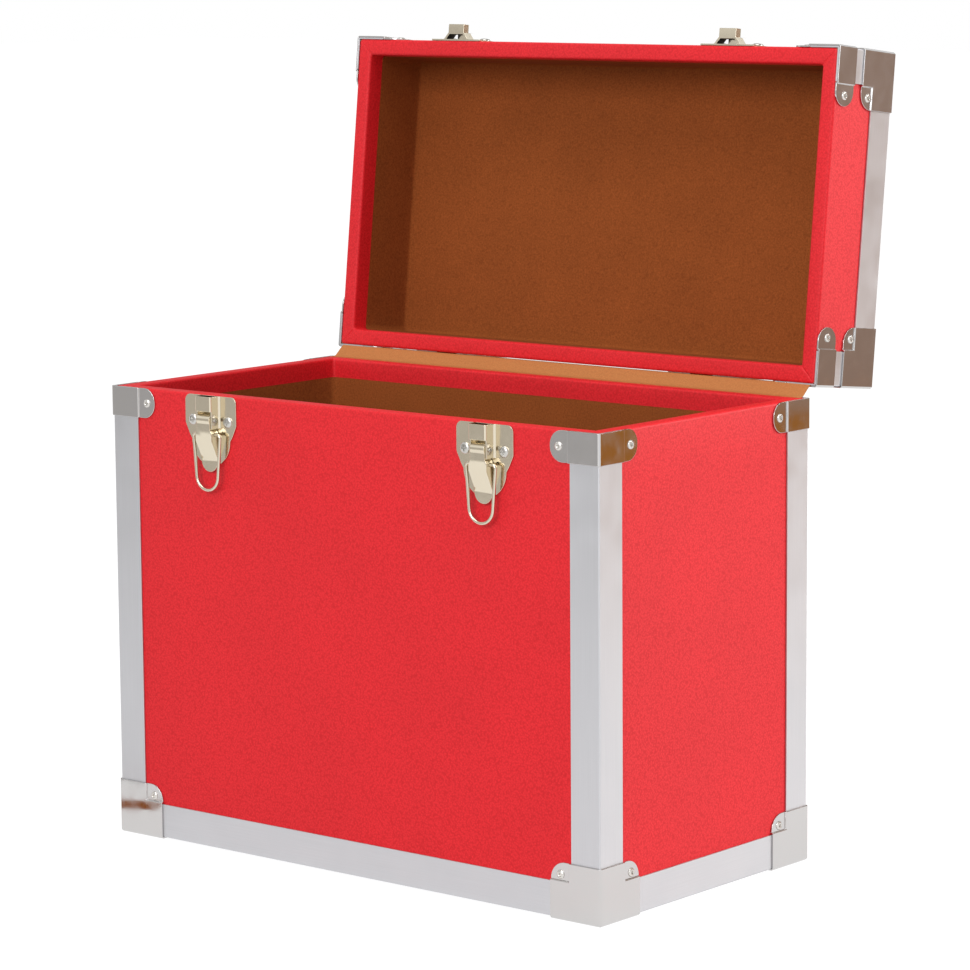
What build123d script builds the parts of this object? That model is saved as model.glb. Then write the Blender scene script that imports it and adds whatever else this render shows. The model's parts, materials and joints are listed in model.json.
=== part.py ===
from build123d import *
from math import cos, radians, sin
import os

os.makedirs("parts", exist_ok=True)

# Record carrying case: a board box and a hinged lid, covered in leatherette and edged in
# aluminium angle, with sheet-metal corners, two draw latches, two stop hinges and a handle.
# X runs to the right, Y to the back and Z up. The origin lies on the floor, under the
# middle of the base. The lid is drawn closed and then turned open about the hinge axis.

# ---- Driving dimensions (mm) -------------------------------------------------------------
case_width = 371.0            # over the covering
case_depth = 196.0
base_height = 274.0           # underside of the covering to the rim
lid_height = 57.0             # rim to the top of the covering
wall_board = 9.0              # fibreboard of the four sides
floor_board = 5.0             # thinner board of the base's floor and the lid's top
covering_thickness = 0.5
turn_in_depth = 10.0          # leatherette turned in below the rim
lining_thickness = 0.5
rim_gap = 0.8                 # between the two rims when the lid is shut
lid_open_angle = 96.5

angle_leg = 20.5              # aluminium edging, measured over its outer face
angle_thickness = 1.0
butt_gap = 0.3                # between the ends of neighbouring edging strips
edge_round = 0.8              # outer bend of the edging

sheet_thickness = 1.0         # pressed corners and brackets
cap_width = 36.0              # three-sided corner caps
cap_height = 33.0
cap_ear_round = 10.0
corner_bevel = 1.1            # flat on the outer bends of the caps
corner_round = 1.6            # outer bend of the rim brackets
bracket_height = 18.0         # L-shaped rim brackets
bracket_reach = 35.5
bracket_ear_round = 8.6
ear_gap = 0.3                 # between an ear's step and the edging that it drops off
cap_rivet_inset = 7.0         # rivet centre from the two edges of a cap's face
bracket_rivet_inset = 6.2     # rivet centre from the end of a bracket's ear

rivet_head_diameter = 5.2
rivet_head_height = 0.9
screw_head_diameter = 7.0
screw_head_height = 1.5
head_slope = 45.0             # degrees by which the side of a head leans in
head_sides = 8                # heads are drawn with flat sides
fit_gap = 0.05                # round a pin or the end of a wire

latch_spacing = 211.0         # between the centre lines of the two latches
plate_thickness = 1.0
plate_top_drop = 0.4          # top edge of the latch plate below the rim
plate_width = 41.2
plate_shoulder_height = 17.0  # straight upper sides of the shield
plate_waist_width = 34.6
plate_waist_height = 23.8
plate_chin_radius = 15.5
plate_height = 42.0
plate_corner = 4.0
plate_bend = 3.0              # round at the shoulders and at the waist of the shield
plate_screw_spacing = 28.0
plate_screw_drop = 15.4
tunnel_width = 12.4           # raised tunnel in the middle of the plate, over its face
tunnel_height = 7.9           # from the covering to the tunnel's face
tunnel_spread = 1.0           # how far each side of the tunnel leans out at its foot
tunnel_length = 8.8
tunnel_round = 1.2
tunnel_flare = 1.6            # bend between the tunnel and the plate
cheek_length = 19.0           # the tunnel's sides run on as cheeks for the lever's pin
cheek_height = 6.8

lever_pivot_drop = 14.5       # below the rim
lever_pivot_out = 4.65        # in front of the covering
lever_play = 0.3              # between the rolled end and the plate
lever_width = 10.2            # at the rolled end and the neck
lever_sheet = 1.0
lever_face_out = 7.4
lever_neck_drop = 20.0        # where the lever widens below the cheeks
lever_shoulder_drop = 22.3
lever_bend_drop = 26.8        # where the lever's face starts to slope to the tab
lever_tab_drop = 37.4
lever_tip_drop = 45.8
lever_tab_width = 13.0
lever_tab_out = 2.4           # outer face of the finger tab in front of the covering
lever_pin_diameter = 2.6
lever_pin_stand = 0.5         # each end of the pin outside the feet of the cheeks

wire_diameter = 2.0
wire_sides = 8                # the wire is drawn with flat sides
bail_width = 21.2             # between the centre lines of the two legs, at the top
bail_lean = 4.8               # degrees by which each leg leans in towards the crown
bail_crown_radius = 8.65
bail_pivot_drop = 23.0
bail_pivot_out = 4.4
bail_bend = 2.0
bail_end_half = 4.9           # half the distance between the wire's two ends

keeper_width = 39.0
keeper_height = 24.0
keeper_corner = 6.0
keeper_tunnel_height = 5.2
keeper_tunnel_spread = 3.4
keeper_screw_spacing = 27.0
keeper_screw_rise = 14.0
boss_width = 12.4             # hollow boss on the keeper that the bail loops over
boss_rise = 8.0               # its far side above the base's rim
boss_out = 10.4               # its face in front of the covering
boss_round = 3.0              # the two corners that the bail's crown bears on

hinge_spacing = 200.0
hinge_width = 50.0
hinge_leaf_height = 30.0
hinge_leaf_thickness = 1.2
hinge_offset = 7.0            # axis behind the back covering
knuckle_diameter = 6.8
knuckle_count = 3
knuckle_gap = 0.4
hinge_pin_diameter = 3.0
hinge_pin_stand = 0.4         # each end of the pin outside the knuckles
hinge_leaf_rise = 5.4         # near edge of the flat leaf from the axis
hinge_rivet_rise = 22.0
hinge_rivet_spacing = 34.0
stop_reach = 8.6              # radius of the stop lugs' contact faces
stop_foot_rise = 13.5         # where a stop lug runs out on its leaf
stop_clearance_angle = 0.5

cloth_thickness = 0.4         # hinge cloth along the back rim
cloth_side_inset = 5.0

handle_span = 112.0           # between the two handle brackets
handle_drop = 44.0            # from the pivots to the middle of the grip
handle_pivot_height = 9.0     # above the lid's covering
handle_bend = 17.0
handle_bar_width = 10.0
handle_bar_thickness = 9.0
grip_length = 86.0
grip_width = 21.0
grip_thickness = 15.0
grip_full_length = 50.0       # the middle part, of full width
grip_bevel = 3.4
grip_taper = 6.0              # degrees by which the grip's ends draw in
eye_diameter = 11.0
eye_width = 10.0
handle_pin_diameter = 4.0
handle_pin_stand = 0.5        # each end of the pin outside the ears
cheek_gap = 0.4               # each side of the handle's eye
bracket_sheet = 1.5
bracket_plate_length = 34.0
bracket_plate_width = 19.0
bracket_cheek_diameter = 11.0
handle_screw_spacing = 24.0

# ---- Derived places ----------------------------------------------------------------------
metal_build_up = angle_thickness + sheet_thickness
half_width = case_width / 2
half_depth = case_depth / 2
base_bottom = metal_build_up
base_rim = base_bottom + base_height
lid_rim = base_rim + rim_gap
lid_top = lid_rim + lid_height
wall_thickness = covering_thickness + wall_board + lining_thickness
ear_start = angle_leg - angle_thickness + ear_gap
hinge_y = half_depth + hinge_offset
hinge_z = base_rim + rim_gap / 2
hinge_axis = Axis((0, hinge_y, hinge_z), (1, 0, 0))
latch_places = {"left": -latch_spacing / 2, "right": latch_spacing / 2}
hinge_places = (-hinge_spacing / 2, hinge_spacing / 2)
handle_places = (-handle_span / 2, handle_span / 2)
corner_signs = {
    "front_left": (-1, -1),
    "front_right": (1, -1),
    "back_left": (-1, 1),
    "back_right": (1, 1),
}


def save(piece, node, opened=False):
    """Turns a piece of the lid to the open position, names it and writes its file."""
    solid = piece.part.rotate(hinge_axis, -lid_open_angle) if opened else piece.part
    solid.label = node
    export_step(solid, f"parts/{node}.step")


def corner_frame(sign_x, sign_y, z, inward):
    """A plane at a corner of the covering whose three axes all point into the box."""
    along_x = sign_x * sign_y * inward > 0
    x_dir = (-sign_x, 0, 0) if along_x else (0, -sign_y, 0)
    origin = (sign_x * half_width, sign_y * half_depth, z)
    return Plane(origin=origin, x_dir=x_dir, z_dir=(0, 0, inward))


def front_frame(x, z):
    """A plane on the front covering: X to the right, Y up, Z out of the case."""
    return Plane(origin=(x, -half_depth, z), x_dir=(1, 0, 0), z_dir=(0, -1, 0))


def side_frame(x, z):
    """A plane across the front covering: X out of the case, Y up."""
    return Plane(origin=(x, -half_depth, z), x_dir=(0, -1, 0), z_dir=(-1, 0, 0))


def drop_frame(x, z):
    """A level plane that looks down the front covering: X to the right, Y out of the case."""
    return Plane(origin=(x, -half_depth, z), x_dir=(1, 0, 0), z_dir=(0, 0, -1))


# ---- Fasteners ---------------------------------------------------------------------------
# Only the heads are made. Each has its seat at the origin, on the sheet that it holds.
def fastener_head(diameter, height):
    """A low head with sloping sides and a flat crown."""
    with BuildPart() as head:
        with BuildSketch():
            RegularPolygon(diameter / 2, head_sides)
        extrude(amount=height, taper=head_slope)
    return head.part


rivet_head = fastener_head(rivet_head_diameter, rivet_head_height)
screw_head = fastener_head(screw_head_diameter, screw_head_height)


def save_heads(node, head, seats, opened=False):
    """Sets one head on every seat and saves them as one node."""
    with BuildPart() as heads:
        with Locations(*seats):
            add(head)
    save(heads, node, opened)


# Rivet seats on the ears of one cap and of one rim bracket, in the corner's own frame.
cap_across = cap_width - metal_build_up - cap_rivet_inset
cap_along = cap_height - metal_build_up - cap_rivet_inset
cap_seats = [
    Plane(origin=(cap_across, -sheet_thickness, cap_along), z_dir=(0, -1, 0)).location,
    Plane(origin=(-sheet_thickness, cap_across, cap_along), z_dir=(-1, 0, 0)).location,
    Plane(origin=(cap_across, cap_across, -sheet_thickness), z_dir=(0, 0, -1)).location,
]
bracket_across = bracket_reach - metal_build_up - bracket_rivet_inset
bracket_seats = [
    Plane(
        origin=(bracket_across, -sheet_thickness, bracket_height / 2), z_dir=(0, -1, 0)
    ).location,
    Plane(
        origin=(-sheet_thickness, bracket_across, bracket_height / 2), z_dir=(-1, 0, 0)
    ).location,
]


def corner_seats(closed_z, rim_z, inward):
    """All rivet seats on the caps and rim brackets of one half of the case."""
    seats = []
    for sign_x, sign_y in corner_signs.values():
        cap_corner = corner_frame(sign_x, sign_y, closed_z, inward).location
        rim_corner = corner_frame(sign_x, sign_y, rim_z, -inward).location
        seats += [cap_corner * seat for seat in cap_seats]
        seats += [rim_corner * seat for seat in bracket_seats]
    return seats


latch_screw_seats = [
    front_frame(x, base_rim - plate_screw_drop).offset(plate_thickness).location
    * Location((side * plate_screw_spacing / 2, 0, 0))
    for x in latch_places.values()
    for side in (-1, 1)
]
keeper_screw_seats = [
    front_frame(x, base_rim + keeper_screw_rise).offset(plate_thickness).location
    * Location((side * keeper_screw_spacing / 2, 0, 0))
    for x in latch_places.values()
    for side in (-1, 1)
]


def hinge_seats(side_z):
    """Rivet seats on the leaves of one half: side_z is 1 for the lid and -1 for the base."""
    z = hinge_z + side_z * hinge_rivet_rise
    back = Plane(
        origin=(0, half_depth + hinge_leaf_thickness, z), x_dir=(1, 0, 0), z_dir=(0, 1, 0)
    ).location
    return [
        back * Location((x + side * hinge_rivet_spacing / 2, 0, 0))
        for x in hinge_places
        for side in (-1, 1)
    ]


handle_screw_seats = [
    Location((x, side * handle_screw_spacing / 2, lid_top + bracket_sheet))
    for x in handle_places
    for side in (-1, 1)
]


# ---- Boards, covering and lining of one half of the case ---------------------------------
def build_shell(half, closed_z, rim_z, inward, opened):
    """Builds one half as an open box. inward is the way from its closed face to its rim."""
    height = abs(rim_z - closed_z)
    board_width = case_width - 2 * covering_thickness
    board_depth = case_depth - 2 * covering_thickness
    inner_width = board_width - 2 * wall_board
    inner_depth = board_depth - 2 * wall_board
    floor_z = closed_z + inward * covering_thickness
    walls_z = floor_z + inward * floor_board
    wall_rise = height - 2 * covering_thickness - floor_board

    flat_board = "bottom" if inward > 0 else "top"
    with BuildPart() as flat_panel:
        with BuildSketch(Plane.XY.offset(floor_z)):
            Rectangle(board_width, board_depth)
        extrude(amount=inward * floor_board)
    save(flat_panel, f"{half}_{flat_board}_panel", opened)

    wall_y = (board_depth - wall_board) / 2
    wall_x = (board_width - wall_board) / 2
    walls = {
        "front": ((0, -wall_y), board_width, wall_board),
        "back": ((0, wall_y), board_width, wall_board),
        "left": ((-wall_x, 0), wall_board, inner_depth),
        "right": ((wall_x, 0), wall_board, inner_depth),
    }
    for name, (place, size_x, size_y) in walls.items():
        with BuildPart() as wall_panel:
            with BuildSketch(Plane.XY.offset(walls_z)):
                with Locations(place):
                    Rectangle(size_x, size_y)
            extrude(amount=inward * wall_rise)
        save(wall_panel, f"{half}_{name}_panel", opened)

    # Leatherette: an outer skin that wraps over the rim and turns in a little way.
    with BuildPart() as covering:
        with BuildSketch(Plane.XY.offset(closed_z)):
            Rectangle(case_width, case_depth)
        extrude(amount=inward * height)
        with BuildSketch(Plane.XY.offset(floor_z)):
            Rectangle(board_width, board_depth)
        extrude(amount=inward * (height - 2 * covering_thickness), mode=Mode.SUBTRACT)
        with BuildSketch(Plane.XY.offset(rim_z)):
            Rectangle(inner_width, inner_depth)
        extrude(amount=-inward * covering_thickness, mode=Mode.SUBTRACT)
        with BuildSketch(Plane.XY.offset(rim_z)):
            Rectangle(inner_width, inner_depth)
            Rectangle(
                inner_width - 2 * lining_thickness,
                inner_depth - 2 * lining_thickness,
                mode=Mode.SUBTRACT,
            )
        extrude(amount=-inward * turn_in_depth)
    save(covering, f"{half}_covering", opened)

    # Lining: a thin open tray up to the turned-in edge of the covering.
    with BuildPart() as lining:
        with BuildSketch(Plane.XY.offset(walls_z)):
            Rectangle(inner_width, inner_depth)
        extrude(amount=inward * (wall_rise + covering_thickness - turn_in_depth))
        with BuildSketch(Plane.XY.offset(walls_z + inward * lining_thickness)):
            Rectangle(
                inner_width - 2 * lining_thickness, inner_depth - 2 * lining_thickness
            )
        extrude(amount=inward * wall_rise, mode=Mode.SUBTRACT)
    save(lining, f"{half}_lining", opened)


build_shell("base", base_bottom, base_rim, 1, opened=False)
build_shell("lid", lid_top, lid_rim, -1, opened=True)


# ---- Aluminium edging --------------------------------------------------------------------
def upright_angle(sign_x, sign_y, z_from, z_to):
    """One corner angle round a vertical edge of the case."""
    outer = (sign_x * (half_width + angle_thickness), sign_y * (half_depth + angle_thickness))
    toward = (
        Align.MIN if sign_x < 0 else Align.MAX,
        Align.MIN if sign_y < 0 else Align.MAX,
    )
    with BuildPart() as angle:
        with BuildSketch(Plane.XY.offset(z_from)):
            with Locations(outer):
                Rectangle(angle_leg, angle_leg, align=toward)
            with Locations((sign_x * half_width, sign_y * half_depth)):
                Rectangle(angle_leg, angle_leg, align=toward, mode=Mode.SUBTRACT)
        extrude(amount=z_to - z_from)
        bend = angle.edges().filter_by(Axis.Z).sort_by_distance((*outer, z_from))[0]
        fillet(bend, edge_round)
    return angle


def level_angle(side, closed_z, inward):
    """One angle round a level edge, between the uprights at its two ends."""
    along_x = side in ("front", "back")
    sign = -1 if side in ("front", "left") else 1
    reach = half_depth if along_x else half_width
    run = (half_width if along_x else half_depth) + angle_thickness - angle_leg - butt_gap
    section = Plane.YZ if along_x else Plane.XZ
    outer = (sign * (reach + angle_thickness), closed_z - inward * angle_thickness)
    toward = (
        Align.MIN if sign < 0 else Align.MAX,
        Align.MIN if inward > 0 else Align.MAX,
    )
    with BuildPart() as angle:
        with BuildSketch(section):
            with Locations(outer):
                Rectangle(angle_leg, angle_leg, align=toward)
            with Locations((sign * reach, closed_z)):
                Rectangle(angle_leg, angle_leg, align=toward, mode=Mode.SUBTRACT)
        extrude(amount=run, both=True)
        length_axis = Axis.X if along_x else Axis.Y
        corner = (0, *outer) if along_x else (outer[0], 0, outer[1])
        bend = angle.edges().filter_by(length_axis).sort_by_distance(corner)[0]
        fillet(bend, edge_round)
    return angle


for name, (sign_x, sign_y) in corner_signs.items():
    upright = upright_angle(sign_x, sign_y, base_bottom - angle_thickness, base_rim)
    save(upright, f"base_{name}_edging")

with BuildPart() as lid_uprights:
    for sign_x, sign_y in corner_signs.values():
        add(upright_angle(sign_x, sign_y, lid_rim, lid_top + angle_thickness).part)
save(lid_uprights, "lid_corner_edging", opened=True)

for side in ("front", "back", "left", "right"):
    save(level_angle(side, base_bottom, 1), f"base_bottom_{side}_edging")
    save(level_angle(side, lid_top, -1), f"lid_top_{side}_edging", opened=True)


# ---- Corner caps and rim brackets --------------------------------------------------------
# Three-sided cap: raised over the edging, with an ear on each face that steps down onto the
# covering. Its frame is a corner of the covering, with all three axes into the box.
cap_outer = (-metal_build_up, -metal_build_up, -metal_build_up)
with BuildPart() as corner_cap:
    with BuildSketch(Plane.XY.offset(-metal_build_up)):
        with Locations((-metal_build_up, -metal_build_up)):
            Rectangle(cap_width, cap_width, align=(Align.MIN, Align.MIN))
    extrude(amount=cap_height)
    chamfer(corner_cap.edges().sort_by_distance(cap_outer)[:3], corner_bevel)
    with BuildSketch(Plane.XY.offset(-angle_thickness)):
        with Locations((-angle_thickness, -angle_thickness)):
            Rectangle(cap_width, cap_width, align=(Align.MIN, Align.MIN))
    extrude(amount=cap_height, mode=Mode.SUBTRACT)
    cap_faces = (
        (Plane(origin=(0, 0, 0), x_dir=(1, 0, 0), z_dir=(0, -1, 0)), cap_width, cap_height),
        (Plane(origin=(0, 0, 0), x_dir=(0, 0, 1), z_dir=(-1, 0, 0)), cap_height, cap_width),
        (Plane(origin=(0, 0, 0), x_dir=(0, 1, 0), z_dir=(0, 0, -1)), cap_width, cap_width),
    )
    for face, length, height in cap_faces:
        ear_length = length - metal_build_up - ear_start
        ear_height = height - metal_build_up - ear_start
        lower = (Align.MIN, Align.MIN)
        with BuildSketch(face.offset(angle_thickness)):
            with Locations((ear_start, ear_start)):
                Rectangle(length, height, align=lower)
        extrude(amount=2 * sheet_thickness, mode=Mode.SUBTRACT)
        with BuildSketch(face) as ear:
            with Locations((ear_start, ear_start)):
                Rectangle(ear_length, ear_height, align=lower)
            fillet(ear.vertices().sort_by_distance((length, height))[0], cap_ear_round)
        extrude(amount=sheet_thickness)
        with BuildSketch(face):
            with Locations((ear_start, ear_start)):
                Rectangle(ear_length, ear_height, align=lower)
            with Locations((ear_start + sheet_thickness, ear_start + sheet_thickness)):
                Rectangle(ear_length, ear_height, align=lower, mode=Mode.SUBTRACT)
        extrude(amount=metal_build_up)

# Rim bracket: an angle over the edging with a round-ended ear on each leg. Its frame is a
# corner of the rim, with Z away from the rim.
diagonal = Plane(origin=(0, 0, 0), z_dir=(1, -1, 0))
with BuildPart() as rim_bracket:
    with BuildSketch(Plane.XY):
        with Locations((-metal_build_up, -metal_build_up)):
            raised = ear_start + sheet_thickness + metal_build_up
            Rectangle(raised, raised, align=(Align.MIN, Align.MIN))
        with Locations((-angle_thickness, -angle_thickness)):
            Rectangle(raised, raised, align=(Align.MIN, Align.MIN), mode=Mode.SUBTRACT)
    extrude(amount=bracket_height)
    outer_bend = rim_bracket.edges().filter_by(Axis.Z).sort_by_distance(cap_outer)[0]
    fillet(outer_bend, corner_round)
    leg_face = Plane(origin=(0, 0, 0), x_dir=(1, 0, 0), z_dir=(0, -1, 0))
    ear_length = bracket_reach - metal_build_up - ear_start
    with BuildSketch(leg_face) as ear:
        with Locations((ear_start, 0)):
            Rectangle(ear_length, bracket_height, align=(Align.MIN, Align.MIN))
        fillet(ear.vertices().group_by(Axis.X)[-1], bracket_ear_round)
    ear_solid = extrude(amount=sheet_thickness)
    with BuildSketch(leg_face):
        with Locations((ear_start, 0)):
            Rectangle(sheet_thickness, bracket_height, align=(Align.MIN, Align.MIN))
    step_solid = extrude(amount=metal_build_up)
    mirror([ear_solid, step_solid], about=diagonal)

for name, (sign_x, sign_y) in corner_signs.items():
    with BuildPart() as foot_cap:
        with Locations(corner_frame(sign_x, sign_y, base_bottom, 1)):
            add(corner_cap.part)
    save(foot_cap, f"base_{name}_cap")
    with BuildPart() as lid_cap:
        with Locations(corner_frame(sign_x, sign_y, lid_top, -1)):
            add(corner_cap.part)
    save(lid_cap, f"lid_{name}_cap", opened=True)

for half, rim_z, away in (("base", base_rim, -1), ("lid", lid_rim, 1)):
    with BuildPart() as rim_brackets:
        rim_corners = [corner_frame(*signs, rim_z, away) for signs in corner_signs.values()]
        with Locations(*rim_corners):
            add(rim_bracket.part)
    save(rim_brackets, f"{half}_rim_brackets", opened=half == "lid")

save_heads("base_corner_rivets", rivet_head, corner_seats(base_bottom, base_rim, 1))
save_heads("lid_corner_rivets", rivet_head, corner_seats(lid_top, lid_rim, -1), opened=True)


# ---- Latches -----------------------------------------------------------------------------
def raised_tunnel(height, spread, drop_plane, length):
    """Adds a folded tunnel with leaning sides and flared feet, run down from drop_plane."""
    face = tunnel_width / 2
    foot = face + spread
    flange = foot + 2 * tunnel_flare
    with BuildSketch(drop_plane) as section:
        with BuildLine():
            Polyline(
                (-flange, 0),
                (-flange, plate_thickness),
                (-foot, plate_thickness),
                (-face, height),
                (face, height),
                (foot, plate_thickness),
                (flange, plate_thickness),
                (flange, 0),
                close=True,
            )
        make_face()
        feet = [
            corner
            for corner in section.vertices()
            if abs(abs(corner.X) - foot) < fit_gap
            and abs(corner.Y - plate_thickness) < fit_gap
        ]
        fillet(feet, tunnel_flare)
        fillet(section.vertices().group_by(Axis.Y)[-1], tunnel_round)
        with BuildLine():
            Polyline(
                (plate_thickness - foot, 0),
                (plate_thickness - face, height - plate_thickness),
                (face - plate_thickness, height - plate_thickness),
                (foot - plate_thickness, 0),
                close=True,
            )
        make_face(mode=Mode.SUBTRACT)
    extrude(section.sketch, amount=length)


roll_radius = lever_pivot_out - plate_thickness - lever_play
lever_pivot = (lever_pivot_out, -lever_pivot_drop)
bail_pivot = (bail_pivot_out, -bail_pivot_drop)
lever_back = lever_tab_out - lever_sheet
lever_inside = lever_face_out - lever_sheet
tab_centre = lever_tab_width / 2 - lever_tip_drop
below = (Align.CENTER, Align.MAX)
above = (Align.CENTER, Align.MIN)


def lever_outline(inset):
    """Corners of the lever seen from the front: a neck that widens to the finger tab."""
    neck = lever_width / 2 - inset
    wide = lever_tab_width / 2 - inset
    left = [
        (-neck, -lever_pivot_drop),
        (-neck, -lever_neck_drop),
        (-wide, -lever_shoulder_drop),
        (-wide, tab_centre),
    ]
    return left + [(-x, y) for x, y in reversed(left)]


# Each latch is made on planes at the rim, above the middle of its plate.
for side, latch_x in latch_places.items():
    front = front_frame(latch_x, base_rim)
    across = side_frame(latch_x, base_rim)
    tunnel_end = -plate_top_drop - tunnel_length

    # Plate: shield-shaped sheet with a raised tunnel whose sides carry the lever's pin.
    with BuildPart() as latch_plate:
        with BuildSketch(front) as shield:
            shoulder = -plate_top_drop - plate_shoulder_height
            waist = -plate_top_drop - plate_waist_height
            chin = plate_chin_radius - plate_top_drop - plate_height
            with BuildLine():
                sides = Polyline(
                    (-plate_chin_radius, chin),
                    (-plate_waist_width / 2, waist),
                    (-plate_width / 2, shoulder),
                    (-plate_width / 2, -plate_top_drop),
                    (plate_width / 2, -plate_top_drop),
                    (plate_width / 2, shoulder),
                    (plate_waist_width / 2, waist),
                    (plate_chin_radius, chin),
                )
                ThreePointArc(sides @ 1, (0, chin - plate_chin_radius), sides @ 0)
            make_face()
            fillet(shield.vertices().group_by(Axis.Y)[-1], plate_corner)
            for level in (shoulder, waist):
                bends = [
                    corner for corner in shield.vertices() if abs(corner.Y - level) < fit_gap
                ]
                fillet(bends, plate_bend)
        extrude(amount=plate_thickness)
        plate_top = drop_frame(latch_x, base_rim - plate_top_drop)
        raised_tunnel(tunnel_height, tunnel_spread, plate_top, cheek_length)
        with BuildSketch(front.offset(cheek_height)):
            with Locations((0, tunnel_end)):
                Rectangle(plate_width, cheek_length, align=below)
        extrude(amount=tunnel_height, mode=Mode.SUBTRACT)
        with BuildSketch(across):
            with Locations(lever_pivot):
                Circle(lever_pin_diameter / 2 + fit_gap)
        extrude(amount=tunnel_width, both=True, mode=Mode.SUBTRACT)
    save(latch_plate, f"latch_plate_{side}")

    # Lever: folded channel with a rolled upper end and a rounded finger tab.
    with BuildPart() as lever:
        with BuildSketch(across):
            with BuildLine():
                Polyline(
                    (lever_face_out, -lever_pivot_drop),
                    (lever_face_out, -lever_bend_drop),
                    (lever_tab_out, -lever_tab_drop),
                    (lever_tab_out, -lever_tip_drop),
                    (lever_back, -lever_tip_drop),
                    (lever_back, -lever_pivot_drop),
                    close=True,
                )
            make_face()
        extrude(amount=lever_tab_width / 2, both=True)
        with BuildSketch(front):
            with BuildLine():
                Polyline(*lever_outline(0), close=True)
            make_face()
            with Locations((0, tab_centre)):
                Circle(lever_tab_width / 2)
        extrude(amount=2 * lever_face_out, mode=Mode.INTERSECT)
        with BuildPart(mode=Mode.SUBTRACT):
            with BuildSketch(across):
                with BuildLine():
                    Polyline(
                        (lever_inside, -lever_pivot_drop),
                        (lever_inside, -lever_bend_drop),
                        (lever_back, -lever_tab_drop),
                        (0, -lever_tab_drop),
                        (0, -lever_pivot_drop),
                        close=True,
                    )
                make_face()
            extrude(amount=lever_tab_width, both=True)
            with BuildSketch(front):
                with BuildLine():
                    Polyline(*lever_outline(lever_sheet), close=True)
                make_face()
            extrude(amount=2 * lever_face_out, mode=Mode.INTERSECT)
        with BuildSketch(across):
            with Locations(lever_pivot):
                Circle(roll_radius)
        extrude(amount=lever_width / 2, both=True)
        with BuildSketch(across):
            with Locations(lever_pivot):
                Circle(lever_pin_diameter / 2 + fit_gap)
            with Locations(bail_pivot):
                Circle(wire_diameter / 2 + fit_gap)
        extrude(amount=lever_tab_width, both=True, mode=Mode.SUBTRACT)
    save(lever, f"latch_lever_{side}")

    # Bail: one bent wire whose ends turn in through the lever's side walls.
    with BuildPart() as bail:
        turned_in = bail_width / 2 - bail_bend
        narrowing = turned_in + (bail_bend - bail_crown_radius) * cos(radians(bail_lean))
        leg_length = narrowing / sin(radians(bail_lean))
        shoulder_turn = 90 + bail_lean
        with BuildLine(front.offset(bail_pivot_out)) as wire:
            left_end = Line((-bail_end_half, -bail_pivot_drop), (-turned_in, -bail_pivot_drop))
            left_bend = JernArc(left_end @ 1, left_end % 1, bail_bend, shoulder_turn)
            left_leg = Line(left_bend @ 1, left_bend @ 1 + (left_bend % 1) * leg_length)
            crown = JernArc(
                left_leg @ 1, left_leg % 1, bail_crown_radius, 360 - 2 * shoulder_turn
            )
            right_leg = Line(crown @ 1, crown @ 1 + (crown % 1) * leg_length)
            right_bend = JernArc(right_leg @ 1, right_leg % 1, bail_bend, shoulder_turn)
            Line(right_bend @ 1, (bail_end_half, -bail_pivot_drop))
        with BuildSketch(Plane(origin=wire.line @ 0, z_dir=wire.line % 0)):
            RegularPolygon(wire_diameter / 2, wire_sides)
        sweep(path=wire.line)
    save(bail, f"latch_bail_{side}")

    # Keeper on the lid: a plate with a short tunnel and, on it, a hollow boss for the bail.
    with BuildPart() as keeper:
        keeper_bottom = rim_gap + plate_top_drop
        boss_height = boss_rise - keeper_bottom
        boss_foot = keeper_tunnel_height - plate_thickness
        with BuildSketch(front) as keeper_plate:
            with Locations((0, keeper_bottom)):
                Rectangle(keeper_width, keeper_height, align=above)
            fillet(keeper_plate.vertices().group_by(Axis.Y)[-1], keeper_corner)
        extrude(amount=plate_thickness)
        tunnel_top = drop_frame(latch_x, base_rim + boss_rise)
        raised_tunnel(keeper_tunnel_height, keeper_tunnel_spread, tunnel_top, boss_height)
        for inset, mode in ((0, Mode.ADD), (plate_thickness, Mode.SUBTRACT)):
            with BuildSketch(front.offset(boss_foot)) as boss:
                with Locations((0, keeper_bottom + boss_height / 2)):
                    Rectangle(boss_width - 2 * inset, boss_height - 2 * inset)
                fillet(boss.vertices().group_by(Axis.Y)[-1], boss_round - inset)
            extrude(amount=boss_out - inset - boss_foot, mode=mode)
        with BuildSketch(front):
            with Locations((0, boss_rise)):
                Rectangle(boss_width - 2 * boss_round, plate_thickness, align=below)
        extrude(amount=keeper_tunnel_height)
    save(keeper, f"keeper_{side}", opened=True)

# Plain round pins hold both levers in the cheeks of their plates.
with BuildPart() as lever_pins:
    for latch_x in latch_places.values():
        with BuildSketch(side_frame(latch_x, base_rim)):
            with Locations(lever_pivot):
                Circle(lever_pin_diameter / 2)
        extrude(amount=tunnel_width / 2 + tunnel_spread + lever_pin_stand, both=True)
save(lever_pins, "latch_lever_pins")

save_heads("latch_plate_screws", screw_head, latch_screw_seats)
save_heads("keeper_screws", screw_head, keeper_screw_seats, opened=True)


# ---- Stop hinges -------------------------------------------------------------------------
knuckle_radius = knuckle_diameter / 2
knuckle_pitch = hinge_width / knuckle_count
stop_angle = radians((lid_open_angle + stop_clearance_angle) / 2)
stop_start = knuckle_radius + knuckle_gap


def hinge_frame(x):
    """A plane across the back covering at hinge height: X out of the case, Y up."""
    return Plane(origin=(x, half_depth, hinge_z), x_dir=(0, 1, 0), z_dir=(1, 0, 0))


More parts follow.
